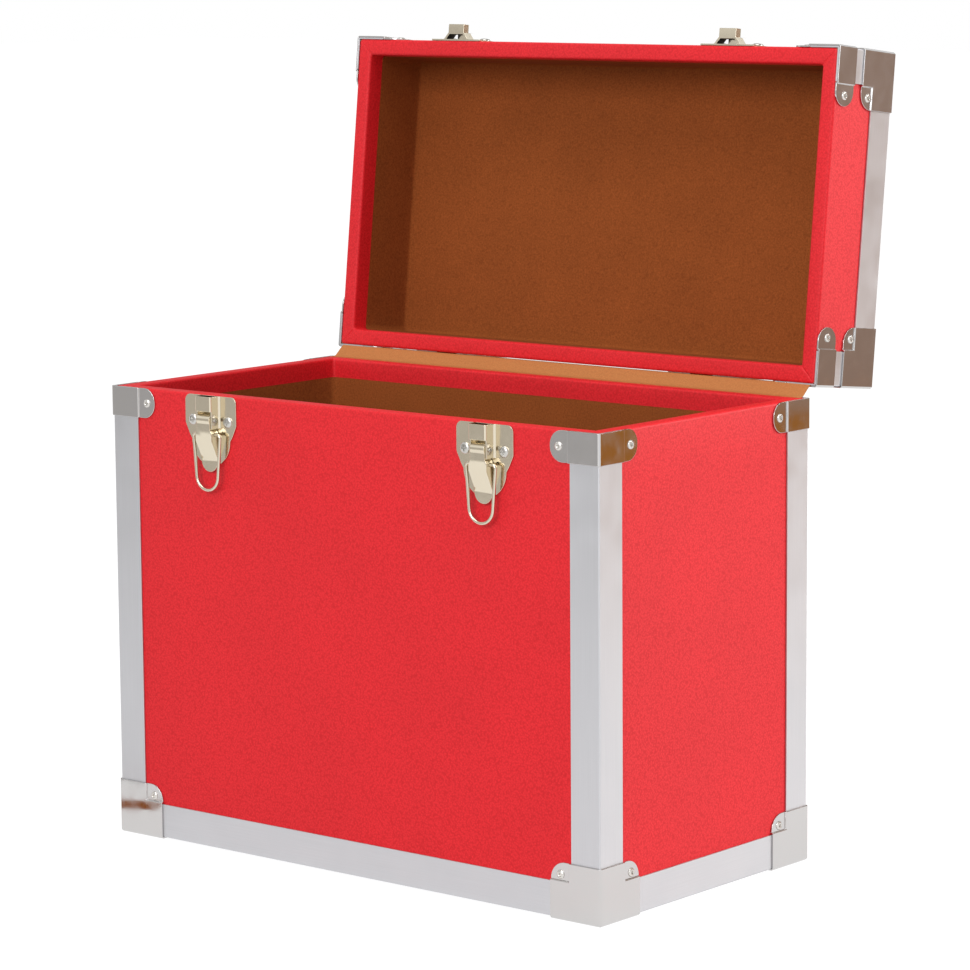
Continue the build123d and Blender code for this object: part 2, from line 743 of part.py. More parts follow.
def hinge_leaves(side_z, first_knuckle):
    """Both leaves of one half. Their stop lugs meet when the lid is fully open."""
    with BuildPart() as leaves:
        for hinge_x in hinge_places:
            left = hinge_x - hinge_width / 2
            with BuildSketch(hinge_frame(left)):
                with Locations((0, side_z * (hinge_leaf_rise + hinge_leaf_height / 2))):
                    Rectangle(
                        hinge_leaf_thickness, hinge_leaf_height, align=(Align.MIN, Align.CENTER)
                    )
            extrude(amount=hinge_width)
            # Stop lugs at the two ends, clear of the other leaf's knuckles.
            for lug in (0, knuckle_count - 1):
                with BuildSketch(hinge_frame(left + lug * knuckle_pitch + knuckle_gap / 2)):
                    with BuildLine():
                        Polyline(
                            (
                                hinge_offset + stop_start * cos(stop_angle),
                                side_z * stop_start * sin(stop_angle),
                            ),
                            (
                                hinge_offset + stop_reach * cos(stop_angle),
                                side_z * stop_reach * sin(stop_angle),
                            ),
                            (hinge_leaf_thickness, side_z * stop_foot_rise),
                            (hinge_leaf_thickness, side_z * hinge_leaf_rise),
                            close=True,
                        )
                    make_face()
                    with Locations((hinge_offset, 0)):
                        Circle(stop_start, mode=Mode.SUBTRACT)
                extrude(amount=knuckle_pitch - knuckle_gap)
            for knuckle in range(first_knuckle, knuckle_count, 2):
                start = left + knuckle * knuckle_pitch + knuckle_gap / 2
                with BuildSketch(hinge_frame(start)):
                    with Locations((hinge_offset, 0)):
                        Circle(knuckle_radius)
                    slope = knuckle_radius * cos(radians(45))
                    with BuildLine():
                        Polyline(
                            (0, side_z * hinge_leaf_rise),
                            (hinge_offset - slope, side_z * slope),
                            (hinge_offset, side_z * knuckle_radius),
                            (
                                hinge_leaf_thickness,
                                side_z * (hinge_leaf_rise + 2 * hinge_leaf_thickness),
                            ),
                            close=True,
                        )
                    make_face()
                    with Locations((hinge_offset, 0)):
                        Circle(hinge_pin_diameter / 2 + fit_gap, mode=Mode.SUBTRACT)
                extrude(amount=knuckle_pitch - knuckle_gap)
    return leaves


save(hinge_leaves(-1, 0), "hinge_lower_leaves")
save(hinge_leaves(1, 1), "hinge_upper_leaves", opened=True)

with BuildPart() as hinge_pins:
    for hinge_x in hinge_places:
        with BuildSketch(hinge_frame(hinge_x)):
            with Locations((hinge_offset, 0)):
                Circle(hinge_pin_diameter / 2)
        extrude(amount=hinge_width / 2 + hinge_pin_stand, both=True)
save(hinge_pins, "hinge_pins")

save_heads("hinge_lower_rivets", rivet_head, hinge_seats(-1))
save_heads("hinge_upper_rivets", rivet_head, hinge_seats(1), opened=True)

# Cloth strip glued along the base's back rim, under the joint.
with BuildPart() as hinge_cloth:
    with BuildSketch(Plane.XY.offset(base_rim)):
        with Locations((0, half_depth - wall_thickness / 2)):
            Rectangle(case_width - 2 * cloth_side_inset, wall_thickness)
    extrude(amount=cloth_thickness)
save(hinge_cloth, "hinge_cloth")


# ---- Handle ------------------------------------------------------------------------------
# It hangs plumb while the lid stands open, so in the closed lid it leans back by the angle
# that the lid opens past upright.
handle_lean = radians(lid_open_angle - 90)
handle_frame = Plane(
    origin=(0, 0, lid_top + handle_pivot_height),
    x_dir=(1, 0, 0),
    z_dir=(0, -sin(handle_lean), cos(handle_lean)),
)


def handle_section(x):
    """A plane across the handle at the pivots' height: X away from the pivots, Z to the right."""
    away = handle_frame.y_dir
    return Plane(origin=(x, 0, lid_top + handle_pivot_height), x_dir=away, z_dir=(1, 0, 0))


with BuildPart() as handle:
    with BuildLine(handle_frame) as bar:
        FilletPolyline(
            (-handle_span / 2, 0),
            (-handle_span / 2, handle_drop),
            (handle_span / 2, handle_drop),
            (handle_span / 2, 0),
            radius=handle_bend,
        )
    with BuildSketch(Plane(origin=bar.line @ 0, x_dir=(1, 0, 0), z_dir=bar.line % 0)):
        Rectangle(handle_bar_width, handle_bar_thickness)
    sweep(path=bar.line)
    # Moulded grip: full in the middle and drawn in towards both ends.
    for end in (-1, 1):
        middle = handle_section(0)
        start = handle_section(end * grip_full_length / 2)
        for plane, run, taper in (
            (middle, grip_full_length / 2, 0),
            (start, (grip_length - grip_full_length) / 2, grip_taper),
        ):
            with BuildSketch(plane) as grip_section:
                with Locations((handle_drop, 0)):
                    Rectangle(grip_width, grip_thickness)
                chamfer(grip_section.vertices(), grip_bevel)
            extrude(amount=end * run, taper=taper)
    for handle_x in handle_places:
        with BuildSketch(handle_section(handle_x)):
            Circle(eye_diameter / 2)
        extrude(amount=eye_width / 2, both=True)
        with BuildSketch(handle_section(handle_x)):
            Circle(handle_pin_diameter / 2 + fit_gap)
        extrude(amount=eye_width, both=True, mode=Mode.SUBTRACT)
save(handle, "handle_grip", opened=True)

# Brackets: a screwed plate with two ears that carry a pin through the handle's eye.
ear_inner = eye_width / 2 + cheek_gap
with BuildPart() as handle_brackets:
    for handle_x in handle_places:
        with BuildSketch(Plane.XY.offset(lid_top)):
            with Locations((handle_x, 0)):
                RectangleRounded(bracket_plate_width, bracket_plate_length, bracket_sheet * 2)
        extrude(amount=bracket_sheet)
        for start in (handle_x - ear_inner - bracket_sheet, handle_x + ear_inner):
            with BuildSketch(Plane.YZ.offset(start)):
                with Locations((0, lid_top)):
                    Rectangle(bracket_cheek_diameter, handle_pivot_height, align=above)
                with Locations((0, lid_top + handle_pivot_height)):
                    Circle(bracket_cheek_diameter / 2)
                    Circle(handle_pin_diameter / 2 + fit_gap, mode=Mode.SUBTRACT)
            extrude(amount=bracket_sheet)
save(handle_brackets, "handle_brackets", opened=True)

with BuildPart() as handle_pins:
    for handle_x in handle_places:
        with BuildSketch(Plane.YZ.offset(handle_x)):
            with Locations((0, lid_top + handle_pivot_height)):
                Circle(handle_pin_diameter / 2)
        extrude(amount=ear_inner + bracket_sheet + handle_pin_stand, both=True)
save(handle_pins, "handle_pins", opened=True)

save_heads("handle_screws", screw_head, handle_screw_seats, opened=True)
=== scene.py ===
import json
from math import cos, pi, radians, sin

import bmesh
import bpy
from mathutils import Matrix, Vector


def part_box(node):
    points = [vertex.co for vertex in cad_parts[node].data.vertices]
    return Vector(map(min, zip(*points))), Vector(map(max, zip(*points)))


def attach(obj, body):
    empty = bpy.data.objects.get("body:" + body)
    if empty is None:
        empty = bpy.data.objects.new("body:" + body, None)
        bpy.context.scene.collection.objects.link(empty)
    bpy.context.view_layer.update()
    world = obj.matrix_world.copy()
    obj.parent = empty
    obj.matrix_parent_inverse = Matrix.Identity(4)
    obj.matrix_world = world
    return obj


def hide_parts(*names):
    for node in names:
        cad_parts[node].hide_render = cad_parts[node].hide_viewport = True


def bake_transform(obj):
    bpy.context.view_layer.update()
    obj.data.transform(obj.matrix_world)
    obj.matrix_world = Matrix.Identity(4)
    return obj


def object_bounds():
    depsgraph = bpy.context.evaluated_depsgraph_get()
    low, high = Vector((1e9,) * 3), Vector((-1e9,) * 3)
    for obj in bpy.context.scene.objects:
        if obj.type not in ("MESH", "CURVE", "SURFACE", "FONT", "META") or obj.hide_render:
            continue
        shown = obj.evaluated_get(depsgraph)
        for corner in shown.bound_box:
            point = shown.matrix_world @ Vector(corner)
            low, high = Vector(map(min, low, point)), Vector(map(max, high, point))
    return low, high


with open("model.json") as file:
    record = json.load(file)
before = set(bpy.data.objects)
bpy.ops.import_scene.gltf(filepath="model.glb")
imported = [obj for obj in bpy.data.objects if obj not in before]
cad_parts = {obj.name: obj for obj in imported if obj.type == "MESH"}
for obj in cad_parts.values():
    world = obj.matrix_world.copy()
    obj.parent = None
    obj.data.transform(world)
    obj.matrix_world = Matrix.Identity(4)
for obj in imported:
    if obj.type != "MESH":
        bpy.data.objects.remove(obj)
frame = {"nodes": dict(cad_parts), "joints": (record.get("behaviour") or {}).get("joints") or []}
cad_low, cad_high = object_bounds()

# ---- Studio ------------------------------------------------------------------------------
# A white paper sweep under a white sky, lit by three soft boxes. Cards of grey and brown stand
# round it and show only in the bright metal, as the walls of a room do in real plating.


def linear(hex_colour):
    """The linear colour of an sRGB hex value, with its alpha."""
    parts = [int(hex_colour[i : i + 2], 16) / 255 for i in (0, 2, 4)]
    return [p / 12.92 if p <= 0.04045 else ((p + 0.055) / 1.055) ** 2.4 for p in parts] + [1.0]


def add_node(tree, kind, values=(), links=(), **settings):
    """Adds a node with its settings, the values of its inputs and the sockets that feed them."""
    node = tree.nodes.new(kind)
    for name, setting in settings.items():
        setattr(node, name, setting)
    for socket, value in dict(values).items():
        node.inputs[socket].default_value = value
    for socket, source in dict(links).items():
        tree.links.new(source, node.inputs[socket])
    return node


def empty_tree(owner):
    """Turns on an owner's node tree, clears it and gives it back."""
    owner.use_nodes = True
    owner.node_tree.nodes.clear()
    return owner.node_tree


def seen_ways(tree):
    """1 on a ray from the camera, a mirror or glass, and 0 on a ray that lights."""
    path = add_node(tree, "ShaderNodeLightPath")
    mirrored = add_node(tree, "ShaderNodeMath", links={
        0: path.outputs["Is Camera Ray"], 1: path.outputs["Is Glossy Ray"]}, operation="MAXIMUM")
    seen = add_node(tree, "ShaderNodeMath", links={
        0: mirrored.outputs[0], 1: path.outputs["Is Transmission Ray"]}, operation="MAXIMUM")
    return seen.outputs[0]


# The sky gives a soft even light and is seen as plain white.
sky_light, sky_seen = 0.55, 1.0
sky = bpy.data.worlds.new("studio")
bpy.context.scene.world = sky
tree = empty_tree(sky)
seen = seen_ways(tree)
level = add_node(tree, "ShaderNodeMapRange", {"To Min": sky_light, "To Max": sky_seen},
                 {"Value": seen})
light = add_node(tree, "ShaderNodeBackground", {"Color": linear("ffffff")},
                 {"Strength": level.outputs[0]})
add_node(tree, "ShaderNodeOutputWorld", links={"Surface": light.outputs[0]})


def stage_quad(name, centre, x_way, y_way, material):
    """A flat card of the studio, given by its centre and its two half edges."""
    c, a, b = Vector(centre), Vector(x_way), Vector(y_way)
    mesh = bpy.data.meshes.new(name)
    mesh.from_pydata([c - a - b, c + a - b, c + a + b, c - a + b], [], [(0, 1, 2, 3)])
    mesh.materials.append(material)
    card = bpy.data.objects.new(name, mesh)
    bpy.context.scene.collection.objects.link(card)
    return card


# Matt white paper. A ray that sees it finds it dim but with a glow of its own, so it meets the
# sky without a line, and the shadow of the case stays soft and pale.
floor_glow = 0.89
floor_reach = 12.0
floor_drop = 0.0002
floor_paint = bpy.data.materials.new("white_paper_sweep")
tree = empty_tree(floor_paint)
seen = seen_ways(tree)
glow = add_node(tree, "ShaderNodeMapRange", {"To Min": 0.0, "To Max": floor_glow},
                {"Value": seen})
shade = add_node(tree, "ShaderNodeMix", {"A": linear("b8b7b6"), "B": linear("7c7c7c")},
                 {"Factor": seen}, data_type="RGBA")
paper = add_node(tree, "ShaderNodeBsdfPrincipled", {
    "Roughness": 0.9, "Specular IOR Level": 0.1, "Emission Color": linear("ffffff")}, {
    "Base Color": shade.outputs["Result"], "Emission Strength": glow.outputs[0]})
add_node(tree, "ShaderNodeOutputMaterial", links={"Surface": paper.outputs[0]})
stage_quad("floor", (0, 0, -floor_drop), (floor_reach, 0, 0), (0, floor_reach, 0), floor_paint)


def reflector(name, colour, centre, x_way, y_way):
    """A card that only reflections see. It shows there in its own plain colour."""
    paint = bpy.data.materials.new(name)
    tree = empty_tree(paint)
    glow = add_node(tree, "ShaderNodeEmission", {"Color": linear(colour), "Strength": 1.0})
    add_node(tree, "ShaderNodeOutputMaterial", links={"Surface": glow.outputs[0]})
    card = stage_quad(name, centre, x_way, y_way, paint)
    card.visible_camera = False
    card.visible_diffuse = False
    card.visible_shadow = False
    card.visible_transmission = False


# Each has its colour, its centre and its half edges, in metres. The large ones stand for walls
# and furniture. The two low ones lie at the foot of the left front corner, for its cap.
reflector("brown_card", "b67635", (1.02, 0.98, 0.058), (0.62, -0.46, 0), (0, 0, 0.057))
reflector("warm_grey_card", "ab9080", (1.02, 0.98, 0.56), (0.62, -0.46, 0), (0, 0, 0.445))
reflector("pale_grey_card", "c9c7c5", (-0.72, -1.08, 0.36), (0.62, -0.42, 0), (0, 0, 0.36))
reflector("ceiling_card", "c2beb8", (0.4, 1.2, 2.9), (3.0, 0, 0), (0, 2.4, 0))
reflector("low_dark_card", "2a2624", (-0.296, -0.209, 0.001), (0.024, -0.004, 0),
          (0.004, 0.009, 0))
reflector("low_tan_card", "a05a24", (-0.232, -0.150, 0.001), (0.020, -0.010, 0),
          (0.006, 0.010, 0))
reflector("dim_back_card", "7d7670", (-2.0, 2.6, 0.9), (1.5, 1.3, 0), (0, 0, 0.86))


def soft_box(name, place, aim, width, height, power, colour="ffffff"):
    """A rectangular lamp at a place, turned towards its aim."""
    lamp = bpy.data.lights.new(name, "AREA")
    lamp.shape, lamp.size, lamp.size_y = "RECTANGLE", width, height
    lamp.energy, lamp.color = power, linear(colour)[:3]
    holder = bpy.data.objects.new(name, lamp)
    holder.location = place
    holder.rotation_euler = (Vector(aim) - Vector(place)).to_track_quat("-Z", "Y").to_euler()
    bpy.context.scene.collection.objects.link(holder)


# Each has its place, aim, width, height and power, in metres and watts.
case_middle = (cad_low + cad_high) / 2
soft_box("key_box", (2.0, 1.9, 1.15), case_middle, 1.7, 1.6, 66, "fffdfb")
soft_box("fill_box", (0.5, -2.9, 1.5), case_middle, 1.8, 1.4, 48, "fbfbff")
soft_box("top_box", (0.3, -0.6, 2.6), case_middle, 1.8, 1.8, 24)

# ---- Camera ------------------------------------------------------------------------------
# A long lens, a little above the open lid, in front of the latch side and to its right. It
# looks slightly down on the case, and its frame is square.
camera_place = Vector((1.4572, -1.7224, 0.5509))
camera_yaw, camera_pitch, camera_roll = radians(39.779), radians(8.353), radians(-0.423)
sensor_width = 36.0
focal_pixels, frame_pixels = 3824.8, 970
lens_over_width = focal_pixels / frame_pixels
ahead = Vector((-sin(camera_yaw) * cos(camera_pitch), cos(camera_yaw) * cos(camera_pitch),
                -sin(camera_pitch)))
level_right = Vector((cos(camera_yaw), sin(camera_yaw), 0))
level_up = level_right.cross(ahead)
right = level_right * cos(camera_roll) + level_up * sin(camera_roll)
up = right.cross(ahead)
lens = bpy.data.cameras.new("camera")
lens.sensor_width, lens.lens = sensor_width, sensor_width * lens_over_width
lens.clip_start, lens.clip_end = 0.05, 60
camera = bpy.data.objects.new("camera", lens)
camera.matrix_world = Matrix.Translation(camera_place) @ Matrix(
    (right, up, -ahead)).transposed().to_4x4()
bpy.context.scene.collection.objects.link(camera)
bpy.context.scene.camera = camera
bpy.context.scene.view_settings.view_transform = "Standard"

# ---- Leatherette covering ----------------------------------------------------------------
# Red PVC leathercloth with an embossed pebble grain, glued over the boards, wrapped round
# the rims and turned in a little way. Its corners are folded to a mitre on the rim.
mm = 0.001


def embossed_leathercloth(name, crease_shade_hex, crest_hex):
    """PVC leathercloth, embossed hot: soft pebbles, run together into short wrinkles, with a
    low even gloss. The creases carry painted shade, a little darker than the crests. The
    pebbles are drawn 1.15 mm across, a little coarser than the real ones, so that they show."""
    pebble, wrinkle, wrinkle_shift, cloud = 1.15 * mm, 2.4 * mm, 1.1 * mm, 70 * mm
    crease_depth = 0.12 * mm
    material = bpy.data.materials.new(name)
    tree = empty_tree(material)
    place = add_node(tree, "ShaderNodeTexCoord").outputs["Object"]
    wobble = add_node(tree, "ShaderNodeTexNoise", {"Scale": 1 / wrinkle, "Detail": 2.0},
                      {"Vector": place})
    bent = add_node(tree, "ShaderNodeVectorMath", {"Scale": wrinkle_shift},
                    {0: wobble.outputs["Color"]}, operation="SCALE")
    moved = add_node(tree, "ShaderNodeVectorMath", links={0: place, 1: bent.outputs[0]},
                     operation="ADD")
    cells = add_node(tree, "ShaderNodeTexVoronoi", {"Scale": 1 / pebble, "Smoothness": 0.6},
                     {"Vector": moved.outputs[0]}, feature="SMOOTH_F1")
    clouds = add_node(tree, "ShaderNodeTexNoise", {"Scale": 1 / cloud, "Detail": 3.0},
                      {"Vector": place})
    depth = add_node(tree, "ShaderNodeMapRange", {"From Min": 0.1, "From Max": 0.75},
                     {"Value": cells.outputs["Distance"]})
    # Painted shade: the hollows of the grain take the darker crease colour.
    colour = add_node(tree, "ShaderNodeMix", {"A": linear(crest_hex), "B": linear(crease_shade_hex)},
                      {"Factor": depth.outputs[0]}, data_type="RGBA")
    shade = add_node(tree, "ShaderNodeMapRange", {
        "From Min": 0.35, "From Max": 0.65, "To Min": 0.97, "To Max": 1.03}, {
        "Value": clouds.outputs["Fac"]})
    tint = add_node(tree, "ShaderNodeVectorMath", links={
        0: colour.outputs["Result"], "Scale": shade.outputs[0]}, operation="SCALE")
    rough = add_node(tree, "ShaderNodeMapRange", {"To Min": 0.46, "To Max": 0.60},
                     {"Value": depth.outputs[0]})
    bump = add_node(tree, "ShaderNodeBump", {"Strength": 0.40, "Distance": crease_depth},
                    {"Height": cells.outputs["Distance"]}, invert=True)
    skin = add_node(tree, "ShaderNodeBsdfPrincipled", {"Specular IOR Level": 0.32}, {
        "Base Color": tint.outputs[0], "Roughness": rough.outputs[0],
        "Normal": bump.outputs[0]})
    add_node(tree, "ShaderNodeOutputMaterial", links={"Surface": skin.outputs[0]})
    return material


# The crease colour is painted shade in the hollows of the grain.
red_leathercloth = embossed_leathercloth("embossed_red_leathercloth", "cf141d", "e6212b")


def place_piece(name, mesh, material, body, slot, *nodes):
    """Puts a finished mesh in the scene, fixes it to its body, if it has one, and lets it stand
    for CAD nodes."""
    mesh.materials.clear()
    mesh.materials.append(material)
    piece = bpy.data.objects.new(name, mesh)
    bpy.context.scene.collection.objects.link(piece)
    if body:
        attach(piece, body)
    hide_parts(*nodes)
    return piece


def joint_named(name):
    """One joint's place, axis and range."""
    return next(joint for joint in frame["joints"] if joint["name"] == name)


lid_hinge = joint_named("lid_hinge")
hinge_point = Vector(lid_hinge["pos_m"])
lid_opening = radians(-lid_hinge["range_deg"][0])
open_lid = (Matrix.Translation(hinge_point) @ Matrix.Rotation(-lid_opening, 4, "X")
            @ Matrix.Translation(-hinge_point))
shut_lid = open_lid.inverted()


def shut_box(node):
    """The box of a node with the lid shut, so that the lid's walls stand level too."""
    if not node.startswith(("lid_", "keeper_")):
        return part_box(node)
    points = [shut_lid @ v.co for v in frame["nodes"][node].data.vertices]
    return (Vector([min(p[i] for p in points) for i in range(3)]),
            Vector([max(p[i] for p in points) for i in range(3)]))


corner_steps = 4
stops_along_x, stops_along_y = 26, 14


def ring_points(half_x, half_y, corner, z):
    """A rounded rectangle at height z as a list of points, with stops along its sides."""
    points = []
    for turn, (sx, sy) in enumerate([(1, 1), (-1, 1), (-1, -1), (1, -1)]):
        centre = Vector((sx * (half_x - corner), sy * (half_y - corner), z))
        for step in range(corner_steps + 1):
            angle = (turn + step / corner_steps) * pi / 2
            points.append(centre + Vector((cos(angle), sin(angle), 0)) * corner)
        if turn % 2 == 0:
            run, way, stops = 2 * (half_x - corner), Vector((-sx, 0, 0)), stops_along_x
        else:
            run, way, stops = 2 * (half_y - corner), Vector((0, -sy, 0)), stops_along_y
        start = points[-1]
        points += [start + way * run * stop / stops for stop in range(1, stops)]
    return points


def skin_rings(mesh, rings, flip=False):
    """Faces from each closed ring of vertices to the next."""
    count = len(rings[0])
    for lower, upper in zip(rings, rings[1:]):
        for here in range(count):
            there = (here + 1) % count
            face = (lower[here], lower[there], upper[there], upper[here])
            mesh.faces.new(face[::-1] if flip else face)


def cup_mesh(rings, thickness, flip):
    """A cup of rings, closed at the first one, with its thickness behind its visible side."""
    mesh = bmesh.new()
    rows = [[mesh.verts.new(point) for point in ring] for ring in rings]
    skin_rings(mesh, rows, flip)
    mesh.faces.new(rows[0] if flip else rows[0][::-1])
    mesh.normal_update()
    bmesh.ops.solidify(mesh, geom=list(mesh.faces), thickness=thickness)
    return mesh


def to_data(mesh, name, turn=None, sharp=35):
    """A Blender mesh from a bmesh, shaded smooth up to a sharp angle and turned if asked."""
    if turn is not None:
        mesh.transform(turn)
    for face in mesh.faces:
        face.smooth = True
    data = bpy.data.meshes.new(name)
    mesh.to_mesh(data)
    mesh.free()
    data.set_sharp_from_angle(angle=radians(sharp))
    return data


rim_roll, edge_roll = 1.6 * mm, 1.0 * mm
outer_corner, inner_corner = 1.4 * mm, 1.8 * mm
mitre_dip, mitre_width, dip_beside_top = 0.35 * mm, 0.02 * mm, 0.7
band_drop = 2.0 * mm            # from the edge of the CAD lining to the end of the band
skin_thickness = 0.45 * mm
lining_thickness = 0.5 * mm     # the band stands flush with the lining's face
wall_stops = 10
band_stops = 2
roll_steps = 5
# The sine and cosine of each stop round a quarter of a circle, for the rolled edges.
quarter_bend = [(sin(step / roll_steps * pi / 2), cos(step / roll_steps * pi / 2))
                for step in range(roll_steps + 1)]


def covering(half):
    """The skin of one half: closed face, walls, rolled rim and turned-in band. Its profile is a
    list of insets from the outer face with their heights, from the closed face to the band."""
    is_lid = half == "lid"
    low, high = shut_box(half + "_covering")
    inner_low, inner_high = shut_box(half + "_lining")
    half_x, half_y = high.x, high.y
    wall = inner_low.x - low.x + lining_thickness
    if is_lid:
        way, closed, rim, band_end = -1, high.z, low.z, inner_low.z
    else:
        way, closed, rim, band_end = 1, low.z, high.z, inner_high.z
    band_end -= way * band_drop
    rim_from = rim - way * rim_roll
    profile = [(edge_roll * (1 - s), closed + way * edge_roll * (1 - c))
               for s, c in quarter_bend]
    wall_from = profile[-1][1]
    profile += [(0, wall_from + (rim_from - wall_from) * stop / wall_stops)
                for stop in range(1, wall_stops)]
    profile += [(rim_roll * (1 - c), rim_from + way * rim_roll * s) for s, c in quarter_bend]
    rim_top = len(profile)
    first_dipped = rim_top - 2
    profile += [(wall - rim_roll * (1 - s), rim_from + way * rim_roll * c)
                for s, c in quarter_bend]
    profile += [(wall, rim_from + (band_end - rim_from) * stop / band_stops)
                for stop in range(1, band_stops + 1)]
    rings = []
    for number, (inset, z) in enumerate(profile):
        corner = outer_corner + (inner_corner - outer_corner) * min(1, inset / wall)
        ring = ring_points(half_x - inset, half_y - inset, corner, z)
        if number >= first_dipped:
            dip = way * mitre_dip * (1 if z == profile[rim_top][1] else dip_beside_top)
            for i, p in enumerate(ring):
                if abs(abs(p.x) - half_x - abs(p.y) + half_y) < mitre_width:
                    ring[i] = p - Vector((0, 0, dip))
        rings.append(ring)
    mesh = cup_mesh(rings, skin_thickness, flip=is_lid)
    return to_data(mesh, half + "_leathercloth", open_lid if is_lid else None)


for half in ("base", "lid"):
    place_piece(half + "_leathercloth", covering(half), red_leathercloth, half, "leatherette",
                half + "_covering")

# ---- Lining ------------------------------------------------------------------------------
# Brown lining cloth, a thin plain weave on paper, glued inside the base and the lid up to the
# turned-in leathercloth. It bridges the inner corners in a small round.


def lining_cloth(name, thread_hex, gap_hex):
    """Paper-backed cotton: matt, close and slightly fuzzy, with uneven dye. The weave is drawn
    at 1.1 mm, three times its real pitch, so that it shows as a faint tooth."""
    pitch, dye_patch, thread_depth = 1.1 * mm, 45 * mm, 0.12 * mm
    material = bpy.data.materials.new(name)
    tree = empty_tree(material)
    place = add_node(tree, "ShaderNodeTexCoord").outputs["Object"]
    dye = add_node(tree, "ShaderNodeTexNoise", {
        "Scale": 1 / dye_patch, "Detail": 4.0, "Roughness": 0.6}, {"Vector": place})
    flecks = add_node(tree, "ShaderNodeTexNoise", {
        "Scale": 1 / pitch, "Detail": 3.0, "Roughness": 0.65}, {"Vector": place})
    threads = add_node(tree, "ShaderNodeMapRange", {"From Min": 0.3, "From Max": 0.7},
                       {"Value": flecks.outputs["Fac"]})
    colour = add_node(tree, "ShaderNodeMix", {"A": linear(gap_hex), "B": linear(thread_hex)},
                      {"Factor": threads.outputs[0]}, data_type="RGBA")
    shade = add_node(tree, "ShaderNodeMapRange", {
        "From Min": 0.3, "From Max": 0.7, "To Min": 0.93, "To Max": 1.07}, {
        "Value": dye.outputs["Fac"]})
    tint = add_node(tree, "ShaderNodeVectorMath", links={
        0: colour.outputs["Result"], "Scale": shade.outputs[0]}, operation="SCALE")
    bump = add_node(tree, "ShaderNodeBump", {"Strength": 0.3, "Distance": thread_depth},
                    {"Height": flecks.outputs["Fac"]})
    cloth = add_node(tree, "ShaderNodeBsdfPrincipled", {
        "Roughness": 0.92, "Specular IOR Level": 0.12}, {
        "Base Color": tint.outputs[0], "Normal": bump.outputs[0]})
    add_node(tree, "ShaderNodeOutputMaterial", links={"Surface": cloth.outputs[0]})
    return material


brown_lining_cloth = lining_cloth("brown_lining_cloth", "9c5426", "7c3f1a")
lining_round = 2.2 * mm
band_gap = 0.05 * mm
lining_stops = 8


def lining(half):
    """The lining of one half: floor, small round and walls up to the turned-in band."""
    is_lid = half == "lid"
    low, high = shut_box(half + "_lining")
    if is_lid:
        way, floor, end = -1, high.z - lining_thickness, low.z
    else:
        way, floor, end = 1, low.z + lining_thickness, high.z
    half_x, half_y = high.x - lining_thickness, high.y - lining_thickness
    profile = [(lining_round * (1 - s), floor + way * lining_round * (1 - c))
               for s, c in quarter_bend]
    start = profile[-1][1]
    end -= way * (band_drop + band_gap)
    profile += [(0, start + (end - start) * stop / lining_stops)
                for stop in range(1, lining_stops + 1)]
    rings = [ring_points(half_x - inset, half_y - inset, inner_corner + lining_round - inset, z)
             for inset, z in profile]
    mesh = cup_mesh(rings, skin_thickness, flip=not is_lid)
    return to_data(mesh, half + "_lining_cloth", open_lid if is_lid else None)


for half in ("base", "lid"):
    place_piece(half + "_lining_cloth", lining(half), brown_lining_cloth, half, "lining",
                half + "_lining")

# ---- Boards ------------------------------------------------------------------------------
# The two boxes themselves: ten sawn fibreboard panels, butted and glued. Leathercloth and
# lining cover them, so nothing of them shows outside.


def pressed_fibreboard(name, fibre_hex, speck_hex):
    """Hot-pressed wood fibre: matt brown, with darker specks 2 mm across."""
    speck = 2 * mm
    material = bpy.data.materials.new(name)
    tree = empty_tree(material)
    place = add_node(tree, "ShaderNodeTexCoord").outputs["Object"]
    specks = add_node(tree, "ShaderNodeTexNoise", {"Scale": 1 / speck, "Detail": 6.0},
                      {"Vector": place})
    colour = add_node(tree, "ShaderNodeMix", {"A": linear(fibre_hex), "B": linear(speck_hex)},
                      {"Factor": specks.outputs["Fac"]}, data_type="RGBA")
    board = add_node(tree, "ShaderNodeBsdfPrincipled", {"Roughness": 0.85},
                     {"Base Color": colour.outputs["Result"]})
    add_node(tree, "ShaderNodeOutputMaterial", links={"Surface": board.outputs[0]})
    return material


fibreboard = pressed_fibreboard("pressed_fibreboard", "a98357", "6f4f2f")
for node, panel in frame["nodes"].items():
    if node.endswith("_panel"):
        panel.data.materials.clear()
        panel.data.materials.append(fibreboard)

# ---- Aluminium edging --------------------------------------------------------------------
# Extruded aluminium angle, satin anodised, sawn square and held under the corner pieces. The
# faint die lines of the extrusion run along each length.


def joined_faces(node):
    """A bmesh of a CAD node with its loose triangles joined into whole faces."""
    weld, flat = 0.003 * mm, radians(0.6)
    mesh = bmesh.new()
    mesh.from_mesh(frame["nodes"][node].data)
    bmesh.ops.remove_doubles(mesh, verts=mesh.verts, dist=weld)
    bmesh.ops.dissolve_limit(mesh, angle_limit=flat, verts=mesh.verts, edges=mesh.edges)
    return mesh


def step_edges(mesh):
    """The outer edges of the steps in a pressing: long edges of a narrow wall whose foot, also
    long, is hollow. Both are bent by more than a radian."""
    long_edge, wall_width, bent = 5 * mm, 1.5 * mm, 1
    found = set()
    for face in mesh.faces:
        long = [e for e in face.edges if e.calc_length() > long_edge and len(e.link_faces) == 2]
        if long and face.calc_area() < wall_width * max(e.calc_length() for e in long):
            turned = [e for e in long if e.calc_face_angle(0) > bent]
            if any(not e.is_convex for e in turned):
                found.update(e for e in turned if e.is_convex)
    return [e for e in mesh.edges if e in found]


def taken_mesh(blank):
    """The plain mesh that an object's modifiers make. The object itself is removed."""
    bpy.context.view_layer.update()
    finished = blank.evaluated_get(bpy.context.evaluated_depsgraph_get())
    mesh = bpy.data.meshes.new_from_object(finished)
    mesh.name = blank.name
    bpy.data.objects.remove(blank)
    return mesh


